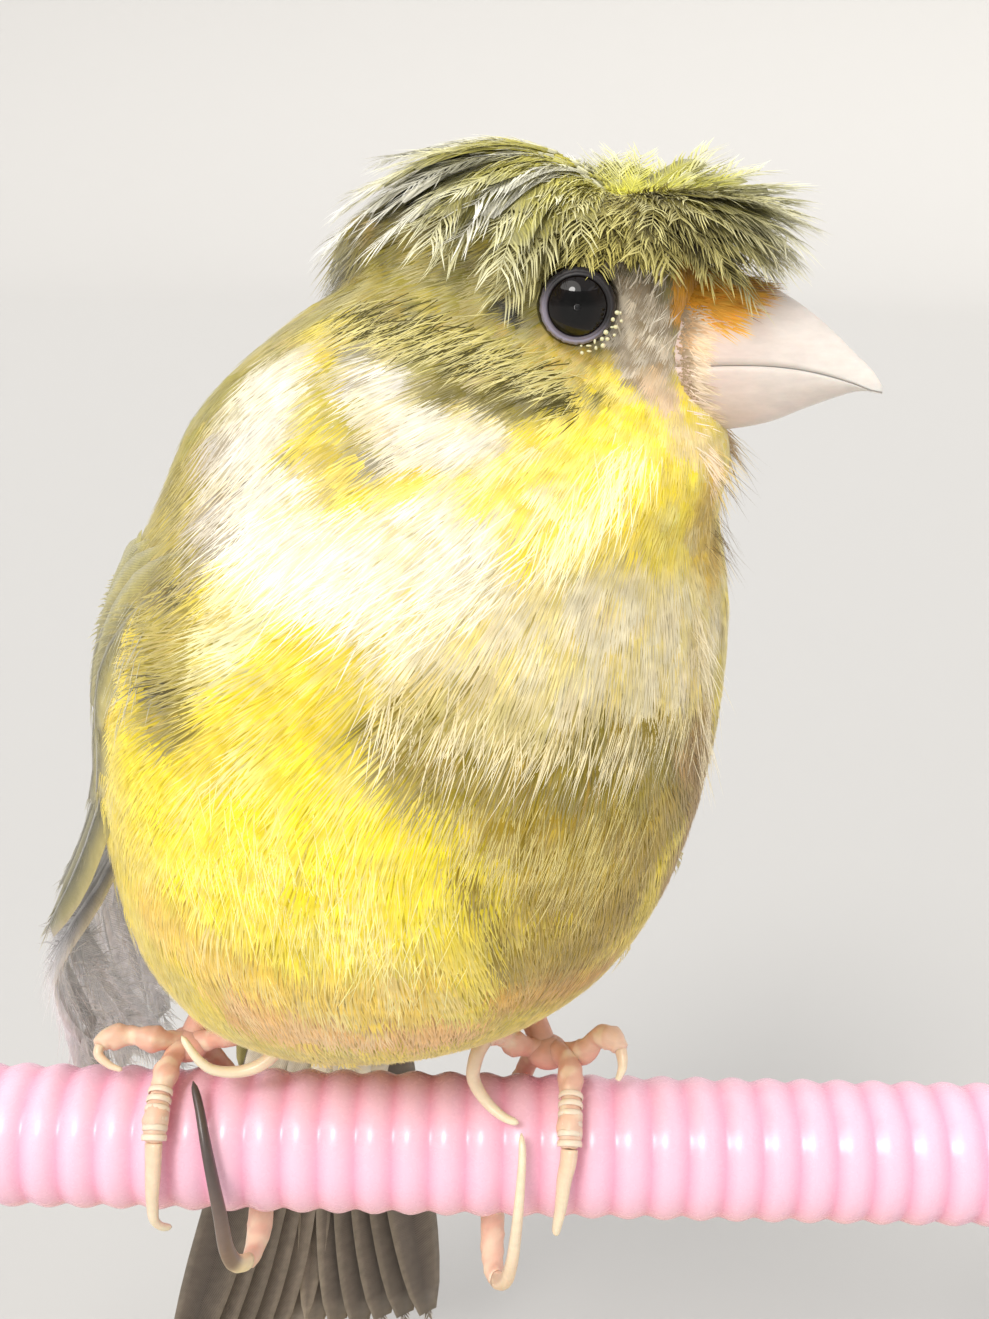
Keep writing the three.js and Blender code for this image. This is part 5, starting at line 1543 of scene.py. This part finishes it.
# Tail: twelve long feathers in a narrow fan, with shorter ones over and under their roots
tailForm = {
    "root": (-14.6, 18.6, 9.5), "tip": (-20.8, 29.2, -48.5), "seed": 4,
    "fans": {
        "rectrices": {"count": 12, "fan": 11, "spacing": 5, "layer": (0.9, -3), "long": (59, 6),
                      "width": 6.6, "dish": 1.2},
        "upper": {"count": 7, "fan": 14, "spacing": 7, "layer": (2.5, -2.4), "long": (21, -8),
                  "width": 5, "dish": -1.1},
        "under": {"count": 7, "fan": 12, "spacing": 6, "layer": (-2.2, 1.6), "long": (24, -8),
                  "width": 5, "dish": 1.2},
    },
    "colours": {
        "rectrices": ("#4B4542", "#6A625B", "#CFC6B4"), "upper": ("#8E8750", "#A89F5E", "#E2DBA8"),
        "under": ("#DDD6BC", "#EDE8D2", "#FBF8EC"),
    },
    "spans": {"vane": (0.05, 0.5), "edge": (0.7, 0.75), "tip": (0.94, 0.3)},
    "look": {
        "web": 0.82, "webEnd": 0.97, "rows": 14, "columns": 6, "barbLength": 2.9, "angle": 34,
        "spacing": 0.45, "barbWidth": 0.13, "rachis": 0.28, "loose": 2, "ruffle": 0.02, "droop": 0.0,
        "from": 0.1, "thick": 0.2,
    },
}


def makeTail():
    rng = np.random.default_rng(tailForm["seed"])
    root, tip = (np.array(tailForm[key]) + upward * perchHeight for key in ("root", "tip"))
    down = unit(tip - root)
    side = leftOf(np.float64(birdForm["bodyHeading"]))
    back = unit(np.cross(side, down))
    plumage = Plumage(sum(fan["count"] for fan in tailForm["fans"].values()))
    for name, fan in tailForm["fans"].items():
        for i in range(fan["count"]):
            k = i / (fan["count"] - 1) - 0.5
            spread = math.radians(2 * fan["fan"] * k)
            way = down * math.cos(spread) + side * math.sin(spread)
            layer = fan["layer"][0] + fan["layer"][1] * abs(k)
            long = fan["long"][0] + fan["long"][1] * abs(k) + rng.normal(0, 0.4)
            t = np.linspace(0, 1, 14)[:, None]
            start = root + side * fan["spacing"] * k + back * layer
            path = start + way * long * t + back * fan["dish"] * t * t
            # The middle feathers are paler than the outer ones
            tone = rng.uniform(0.92, 1.08) * mixed(1.3, 0.85, smooth(0.04, 0.26, abs(k)))
            tilted = unit(np.tile(back, (14, 1)) + side * (0.16 if k < 0 else -0.16))
            colourAt = vaneShades(tailForm["colours"][name], tailForm["spans"], tone)
            plumage.feather(leaned(path), tilted, fan["width"], colourAt, rng, tailForm["look"])
    piece = plumage.piece("tail_feathers", vaneMaterial)
    settle(piece, "tail_feathers", "tail")


makeTail()


# Feet: toes and claws round the perch. Places are [x, angle round the perch, distance from its axis].
footForm = {
    "toe": 0.92, "claw": 0.6, "sides": 16, "scuteEvery": 0.62,
    "right": {
        "pad": (-23.9, -17, 7.5), "leg": [(-22.6, -28, 10.5), (-20.6, -30, 14.5), (-19, -31, 19)],
        "middle": {"cut": 0.52, "path": [
            (-24.3, -14, 7.4), (-24.8, 8, 7.3), (-25, 32, 7), (-25, 55, 7), (-25, 74, 6.8),
            (-25.2, 100, 6.7), (-25.2, 114, 7), (-24.7, 122, 7.1), (-24.1, 127, 6.9),
        ]},
        "outer": {"cut": 0.72, "path": [
            (-24.2, -16, 7.5), (-26.2, -4, 8.6), (-28.2, -5, 8.8), (-29.8, -2, 8.7), (-30.3, 5, 8.1),
            (-29.4, 8, 7.3), (-28.4, 9, 6.9),
        ]},
        "inner": {"cut": 0.44, "path": [
            (-23.5, -17, 7.6), (-20.8, -10, 8.6), (-17.6, -5, 10.3), (-15.4, 5, 11), (-16, 14, 10.2),
            (-17.2, 20, 9.6), (-18.8, 23, 9.4), (-20.6, 24, 9.8), (-21.7, 22, 10.5), (-22.5, 19, 11.4),
            (-23.1, 16, 11.9),
        ]},
        "hind": {"cut": 0.56, "path": [
            (-23.8, -28, 7.3), (-22.2, -70, 7), (-20.4, -110, 7), (-18.9, -146, 7.5), (-18.4, -172, 8.7),
            (-18.6, -192, 9.8), (-19.2, -212, 9.4), (-19.6, -234, 8.6), (-19.9, -256, 7.5),
            (-20.4, -277, 6.9), (-21, -298, 6.7), (-21.8, -323, 6.8), (-22.6, -341, 7.2),
        ]},
    },
    "left": {
        "pad": (4.9, -17, 7.5), "leg": [(3.4, -28, 10.5), (1.4, -30, 14.5), (-0.4, -31, 19)],
        "middle": {"cut": 0.56, "path": [
            (5.4, -14, 7.5), (6.4, -2, 7.7), (6.6, 16, 7.2), (6.5, 37, 7), (6.4, 61, 7), (6.1, 76, 6.7),
            (5.9, 97, 6.7), (5.7, 110, 7), (5.6, 119, 7.2),
        ]},
        "outer": {"cut": 0.76, "path": [
            (5.2, -18, 7.5), (7.6, -8, 8), (8.6, -6, 9.2), (9.6, -3, 9.7), (10.4, 2, 9.3), (10.6, 9, 8.4),
            (10.2, 14, 7.5),
        ]},
        "inner": {"cut": 0.46, "path": [
            (4.4, -17, 7.6), (2.2, -8, 8.6), (0.6, 0, 10.2), (-0.4, 8, 10), (-0.9, 14, 9),
            (-0.9, 18, 7.8), (0.1, 28, 7), (1.4, 37, 6.8), (2.6, 41, 6.8),
        ]},
        "hind": {"cut": 0.6, "path": [
            (4.6, -28, 7.3), (3.2, -70, 7), (1.8, -110, 7), (1, -146, 7.6), (0.8, -172, 9.4),
            (1, -192, 10.9), (1.8, -210, 10.3), (2.3, -233, 9), (2.6, -256, 7.6), (2.8, -280, 6.9),
            (2.9, -300, 6.8), (2.8, -313, 6.8),
        ]},
    },
}


def roundPerch(places):
    # Eased between the listed places, angle 0 on top and 90 in front
    table = np.asarray(places, float)
    knots = np.arange(len(table), dtype=float)
    at = np.linspace(0, len(table) - 1, 8 * (len(table) - 1) + 1)
    x, angle, out = easedColumns(np.column_stack([knots, table]), at).T[1:]
    a = np.radians(angle)
    path = np.stack([x, -np.sin(a) * out, perchHeight + np.cos(a) * out], -1)
    return evenly(path, 72)


def evenly(path, count):
    steps = np.concatenate([[0], np.cumsum(np.linalg.norm(np.diff(path, axis=0), axis=1))])
    at = np.linspace(0, steps[-1], count)
    return np.stack([np.interp(at, steps, path[:, k]) for k in range(3)], -1)


# Toe skin: dry horny scutes, satin, with darker creases; claws are the same horn, harder and glossier
footMaterial = makeHornMaterial("horny_toe_scutes", 0.48, 0.06)
clawMaterial = makeHornMaterial("claw_horn", 0.28, 0.02)


def makeScuteTree():
    # One bent plate at even steps along a toe's path, turned to its outward side
    tree, start = newTree("toeScutes", Spacing="Float", Radius="Float", Thickness="Float")
    links = {
        "Radius": start["Radius"], "Start Angle": math.radians(-105), "Sweep Angle": math.radians(210),
        "Resolution": 11,
    }
    arc = addNode(tree, "GeometryNodeCurveArc", links, mode="RADIUS").outputs["Curve"]
    links = {"Resolution": 8, "Radius": start["Thickness"]}
    rim = addNode(tree, "GeometryNodeCurvePrimitiveCircle", links, mode="RADIUS").outputs["Curve"]
    broad = addNode(tree, "GeometryNodeTransform", {"Geometry": rim, "Scale": (0.6, 2.0, 1.0)}).outputs[0]
    plate = addNode(tree, "GeometryNodeCurveToMesh",
                    {"Curve": arc, "Profile Curve": broad, "Fill Caps": True})
    tangent = addNode(tree, "GeometryNodeInputTangent").outputs["Tangent"]
    outward = addNode(tree, "GeometryNodeInputNamedAttribute", {"Name": "outward"},
                      data_type="FLOAT_VECTOR")
    turned = addNode(tree, "FunctionNodeAlignRotationToVector", {"Vector": tangent}, axis="Z")
    links = {"Rotation": turned.outputs["Rotation"], "Vector": outward.outputs["Attribute"]}
    turned = addNode(tree, "FunctionNodeAlignRotationToVector", links, axis="X", pivot_axis="Z")
    links = {
        "Points": stepsAlong(tree, start), "Instance": plate.outputs["Mesh"],
        "Rotation": turned.outputs["Rotation"],
    }
    placed = addNode(tree, "GeometryNodeInstanceOnPoints", links)
    return closeTree(tree, start, placed.outputs["Instances"])


def makeToe(toe):
    # A knuckled tube, paler towards the claw, with patches of horny skin; also its path
    count = 48
    t = np.linspace(0, 1, len(toe))
    radii = footForm["toe"] * (1 + 0.17 * np.cos(t * 2 * math.pi * 2.5)) * (1 - 0.08 * t)
    path = evenly(toe, count)
    radii = np.interp(np.linspace(0, 1, count), t, radii)
    radii[-1] *= 0.75
    points, faces = tube(path, radii, footForm["sides"])
    points = points + 0.07 * np.stack([softNoise(points, 1.6, seed) for seed in (31, 32, 33)], -1)
    shade = np.concatenate([np.repeat(np.linspace(0, 1, count), footForm["sides"]), [0, 1]])[:, None]
    colours = mixed(rgb("#DDA28E"), rgb("#E6C4AC"), shade)
    patches = 0.5 * smooth(0.1, 0.9, softNoise(points, 2.2, 34))[:, None]
    return path, (points, faces, mixed(colours, rgb("#F2E3C6"), patches))


def makeClaw(side, digit, path):
    sides, count = 14, 44
    t = np.linspace(0, 1, count)
    blunt = np.sqrt(np.clip(1 - np.clip((t - 0.93) / 0.07, 0, 1) ** 2, 0.02, 1))
    thick = footForm["claw"] * (0.7 if digit == "outer" else 1) * mixed(1.1, 0.5, t**1.3) * blunt
    points, faces = tube(evenly(path, count), thick, sides, shape=lambda row,
                         angles: 1 - 0.12 * np.cos(2 * angles))
    shade = np.concatenate([np.repeat(t, sides), [0, 1]])[:, None]
    if side == "right" and digit == "hind":  # the one dark claw, still ivory at its root
        colours = mixed(rgb("#EFE0B4"), rgb("#7A685C"), smooth(0.1, 0.22, shade))
        colours = mixed(colours, rgb("#544A48"), smooth(0.3, 0.7, shade))
    else:
        colours = mixed(rgb("#E4C9AE"), rgb("#EADFC4"), shade)
    piece = makePiece(f"horn_{side}_{digit}", points, faces, clawMaterial, colours)
    settle(piece, "claw", f"claw_{side}_{digit}")


def makeFeet():
    scutes = makeScuteTree()
    for side in ("right", "left"):
        form = footForm[side]
        parts = []
        for digit in ("middle", "outer", "inner", "hind"):
            path = roundPerch(form[digit]["path"])
            cut = int(form[digit]["cut"] * (len(path) - 1))
            toePath, part = makeToe(path[:cut + 1])
            parts.append(part)
            if digit == "middle":  # only the last stretch of the front toe shows its scutes
                scutePath = toePath[27:46]
            makeClaw(side, digit, path[cut:])
        legPath = roundPerch([form["pad"], *form["leg"]])
        pad, padFaces = ellipsoidMesh(legPath[0], np.diag([1.7, 1.8, 1.25]), 24, 16)
        parts.append((pad, padFaces[:, ::-1], np.tile(rgb("#DDA593"), (len(pad), 1))))
        leg, legFaces = tube(legPath, mixed(1.0, 1.35, np.linspace(0, 1, len(legPath))), footForm["sides"])
        parts.append((leg, legFaces, np.tile(rgb("#DDA896"), (len(leg), 1))))
        points, faces, colours = joined(parts)
        foot = makePiece(f"toes_{side}", points, faces, footMaterial, colours)
        facingOut(foot)
        settle(foot, "leg_scales", f"foot_{side}", f"leg_{side}")
        outward = unit((scutePath - upward * perchHeight) * np.array([0, 1, 1]))
        edges = [(k, k + 1) for k in range(len(scutePath) - 1)]
        inputs = {
            "Spacing": footForm["scuteEvery"] * mm, "Radius": footForm["toe"] * 0.98 * mm,
            "Thickness": 0.12 * mm, "Finish": footMaterial,
        }
        plates = runTree(f"scutes_{side}", scutes, scutePath, edges, inputs, {"outward": outward})
        writePlume(plates.data, rgb("#EFD8C2"))
        settle(plates, "leg_scales")
        print("foot", side, len(plates.data.polygons), "scute faces")


makeFeet()


# Perch: a steel core in soft glossy plastic, moulded in rounded ribs
# The deep colour is painted shade for the grooves between the ribs
perchForm = {
    "radius": 5.5, "groove": 0.34, "length": 98, "pitch": 2.86, "colour": "#F8C6DC", "deep": "#EFA6C2",
}


def makePerchTree():
    # A circle swept along a line, its radius rising and falling with each rib
    sizes = dict.fromkeys(("Length", "Radius", "Groove", "Pitch", "Height"), "Float")
    tree, start = newTree("perchRibs", **sizes, Steps="Int")
    ends = []
    for share in (-0.5, 0.5):
        x = maths(tree, "MULTIPLY", start["Length"], share)
        ends.append(addNode(tree, "ShaderNodeCombineXYZ", {"X": x, "Z": start["Height"]}).outputs[0])
    line = addNode(tree, "GeometryNodeCurvePrimitiveLine",
                   {"Start": ends[0], "End": ends[1]}).outputs["Curve"]
    links = {"Curve": line, "Count": start["Steps"]}
    stepped = addNode(tree, "GeometryNodeResampleCurve", links, mode="COUNT").outputs["Curve"]
    place = addNode(tree, "GeometryNodeInputPosition").outputs["Position"]
    x = addNode(tree, "ShaderNodeSeparateXYZ", {"Vector": place}).outputs["X"]
    angle = maths(tree, "MULTIPLY", maths(tree, "DIVIDE", x, start["Pitch"]), math.pi)
    rise = maths(tree, "POWER", maths(tree, "ABSOLUTE", maths(tree, "COSINE", angle)), 1.5)
    low = maths(tree, "SUBTRACT", start["Radius"], start["Groove"])
    radius = maths(tree, "MULTIPLY_ADD", rise, start["Groove"], low)
    links = {"Resolution": 72, "Radius": 1.0}
    ring = addNode(tree, "GeometryNodeCurvePrimitiveCircle", links, mode="RADIUS").outputs["Curve"]
    links = {"Curve": stepped, "Profile Curve": ring, "Scale": radius, "Fill Caps": True}
    rod = addNode(tree, "GeometryNodeCurveToMesh", links)
    return closeTree(tree, start, rod.outputs["Mesh"], False)


# Soft PVC coating: dip-moulded, glossy, even pink with faint scuffs; painted shade makes it a little deeper
# pink in the grooves
def makePerchMaterial():
    material, tree, shader = newMaterial("glossy_pvc_coating", Roughness=0.25, IOR=1.53)
    place = addNode(tree, "ShaderNodeTexCoord").outputs["Object"]
    x = addNode(tree, "ShaderNodeSeparateXYZ", {"Vector": place}).outputs["X"]
    angle = maths(tree, "MULTIPLY", x, math.pi / (perchForm["pitch"] * mm))
    rib = maths(tree, "ABSOLUTE", maths(tree, "COSINE", angle))
    uneven = noiseAt(tree, 2.5, 4.0)
    # Painted shade: towards each groove the pink is mixed to the deeper pink
    share = spanned(tree, maths(tree, "MULTIPLY_ADD", uneven, 0.25, rib), 0.0, 1.0, (0.1, 1.0))
    links = {0: share, 6: linear(perchForm["deep"]), 7: linear(perchForm["colour"])}
    colour = addNode(tree, "ShaderNodeMix", links, data_type="RGBA")
    tree.links.new(colour.outputs[2], shader.inputs["Base Color"])
    scuffed = spanned(tree, noiseAt(tree, 0.6, 2.0), 0.22, 0.32, (0.35, 0.7))
    tree.links.new(scuffed, shader.inputs["Roughness"])
    addBump(tree, shader, uneven, 0.15, 0.03)
    return material


def makePerch():
    inputs = {key.capitalize(): perchForm[key] * mm for key in ("length", "radius", "groove", "pitch")}
    inputs["Height"] = perchHeight * mm
    inputs["Steps"] = int(perchForm["length"] / perchForm["pitch"] * 14)
    inputs["Finish"] = makePerchMaterial()
    perch = runTree("ribbed_perch", makePerchTree(), [(0, 0, 0)], [], inputs)
    mesh = perch.data
    mesh.polygons.foreach_set("use_smooth", [len(p.vertices) == 4 for p in mesh.polygons])  # not the ends
    settle(perch, "perch_plastic", "perch")
    print("perch", len(mesh.polygons), "faces")


makePerch()


# Stand: an oiled birch plate with eased edges and two brushed steel posts, each with a saddle
standForm = {
    "plate": (110, 70, 6), "corner": 8, "edge": 0.8, "post": 2, "foot": 5, "footThick": 1.5, "saddle": 3.4,
    "inset": 3.8, "gap": 0.3,
}


# Birch: close straight grain about 1.5 mm apart, pale, with a thin satin oil
def makeWoodMaterial():
    material, tree, shader = newMaterial("oiled_birch", Roughness=0.45, IOR=1.5)
    grain = noiseAt(tree, 4.0, 6.0, (0.06, 1.0, 1.0), Roughness=0.65)
    ramp = addNode(tree, "ShaderNodeValToRGB", {"Fac": grain})
    for stop, at, colour in zip(ramp.color_ramp.elements, (0.3, 0.7), ("#C9B08A", "#E4D2B2")):
        stop.position = at
        stop.color = linear(colour)
    tree.links.new(ramp.outputs["Color"], shader.inputs["Base Color"])
    addBump(tree, shader, grain, 0.4, 0.06)
    return material


# Stainless steel: turned and finely brushed round, so its shine is drawn out
def makeSteelMaterial():
    material, tree, shader = newMaterial(
        "brushed_stainless_steel", Metallic=1.0, Roughness=0.3, Base_Color=linear("#C6C4BF"))
    brushed = spanned(tree, noiseAt(tree, 1.0, 4.0, (0.2, 0.2, 8.0)), 0.24, 0.4)
    tree.links.new(brushed, shader.inputs["Roughness"])
    return material


def makePlate():
    w, d, high = standForm["plate"]
    r, e = standForm["corner"], standForm["edge"]
    x, y = w / 2 - r, d / 2 - r
    outline = []
    for cx, cy, start in ((x, -y, -90), (x, y, 0), (-x, y, 90), (-x, -y, 180)):
        for a in np.radians(np.linspace(start, start + 90, 13)):
            outline.append((cx + r * math.cos(a), cy + r * math.sin(a)))
    outline = np.array(outline)
    # Inset and height of each row: a small bevel below, a rounded edge above
    section = [(e, 0), (e * 0.3, e * 0.3), (0, e)]
    for a in np.linspace(0, math.pi / 2, 6):
        section.append((e * (1 - math.cos(a)), high - e + e * math.sin(a)))
    rows = []
    for inset, z in section:
        shrink = 1 - np.array([inset / (w / 2), inset / (d / 2)])
        rows.append(np.column_stack([outline * shrink, np.full(len(outline), z)]))
    points = np.concatenate(rows + [[[0, 0, 0]], [[0, 0, high]]])
    n = len(outline)
    ring = np.arange(n)
    caps = [fan(len(points) - 2, ring, True), fan(len(points) - 1, (len(rows) - 1) * n + ring)]
    faces = np.concatenate([gridFaces(len(rows), n)[:, ::-1], *caps])
    plate = makePiece("stand_plate", points, faces, makeWoodMaterial())
    facingOut(plate)
    plate.data.polygons.foreach_set("use_smooth", [abs(p.normal.z) <= 0.9 for p in plate.data.polygons])
    settle(plate, "stand_wood", "stand_base")


def makePosts():
    form = standForm
    steel = makeSteelMaterial()
    bottom, top = form["plate"][2] + form["gap"], perchHeight - perchForm["radius"] + 2
    flange = bottom + form["footThick"]
    profile = [
        (0, bottom), (form["foot"] - 0.3, bottom), (form["foot"], bottom + 0.3), (form["foot"],
                                                                                  flange - 0.3),
        (form["foot"] - 0.3, flange), (form["post"] + 0.4, flange + 0.2), (form["post"], flange + 1),
        (form["post"], top - 7), (form["saddle"] - 0.2, top - 5.2), (form["saddle"], top - 4.9),
    ]
    clear = perchForm["radius"] + form["gap"]
    for name, side in (("right", -1), ("left", 1)):
        x = side * (perchForm["length"] / 2 - form["inset"])
        a = np.linspace(0, 2 * math.pi, 48, endpoint=False)
        rows = [np.stack([x + r * np.cos(a), r * np.sin(a), np.full(48, z)], -1) for r, z in profile]
        for share in (1, 0.66, 0.33, 0):  # the saddle, hollowed to the perch
            r = form["saddle"] * share
            y = r * np.sin(a)
            rows.append(np.stack([x + r * np.cos(a), y, perchHeight - np.sqrt(clear**2 - y**2)], -1))
        post = makePiece(f"stand_post_{name}", np.concatenate(rows), gridFaces(len(rows), 48), steel)
        facingOut(post)
        settle(post, "stand_steel", f"stand_rod_{name}")


makePlate()
makePosts()


# Floor and light
studio = {"floor": 1800, "wall": 2600, "height": 2200, "floorColour": "#C2C1BF"}


def makeStudio():
    # A pale bowl: a flat floor that turns up into a wall far from the bird
    profile = [(0.5, 0.0), (studio["floor"], 0.0)]
    reach = studio["wall"] - studio["floor"]
    for i in range(1, 17):
        a = i / 16 * math.pi / 2
        profile.append((studio["floor"] + reach * math.sin(a), reach * (1 - math.cos(a))))
    profile.append((studio["wall"], studio["height"]))
    around = 96
    a = np.linspace(0, 2 * math.pi, around, endpoint=False)
    rows = [np.stack([r * np.cos(a), r * np.sin(a), np.full(around, z)], -1) for r, z in profile]
    points = np.concatenate(rows + [[[0, 0, 0]]])
    middle = fan(len(points) - 1, np.arange(around))
    material, _, _ = newMaterial("matt_paper_floor", Roughness=0.9,
                                 Base_Color=linear(studio["floorColour"]))
    faces = np.concatenate([gridFaces(len(profile), around)[:, ::-1], middle])
    floor = makePiece("floor", points, faces, material)
    floor.visible_shadow = False  # the lamps stand outside the bowl


def makeLamp(name, direction, strength, angle, colour="#FFFFFF"):
    # A far soft lamp, as wide as the angle
    data = bpy.data.lights.new(name, "SUN")
    data.energy = strength
    data.angle = math.radians(angle)
    data.color = linear(colour)[:3]
    lamp = newObject(name, data)
    lamp.location = Vector(direction).normalized()
    lamp.rotation_euler = Vector(direction).to_track_quat("Z", "Y").to_euler()


makeStudio()
makeLamp("key", (-0.62, -0.95, 0.85), 1.95, 60, "#FFFBF4")
makeLamp("window", (-0.45, -0.95, 0.95), 1.15, 16, "#FFFCF8")
makeLamp("fill", (0.9, -0.7, 0.35), 0.45, 60, "#F8F5FF")
makeLamp("top", (-0.1, 0.6, 1.0), 0.6, 60)
world = bpy.data.worlds.new("studio")
world.use_nodes = True
world.node_tree.nodes["Background"].inputs["Color"].default_value = linear("#F4F4F6")
world.node_tree.nodes["Background"].inputs["Strength"].default_value = 0.8
bpy.context.scene.world = world
bpy.context.scene.view_settings.view_transform = "Standard"
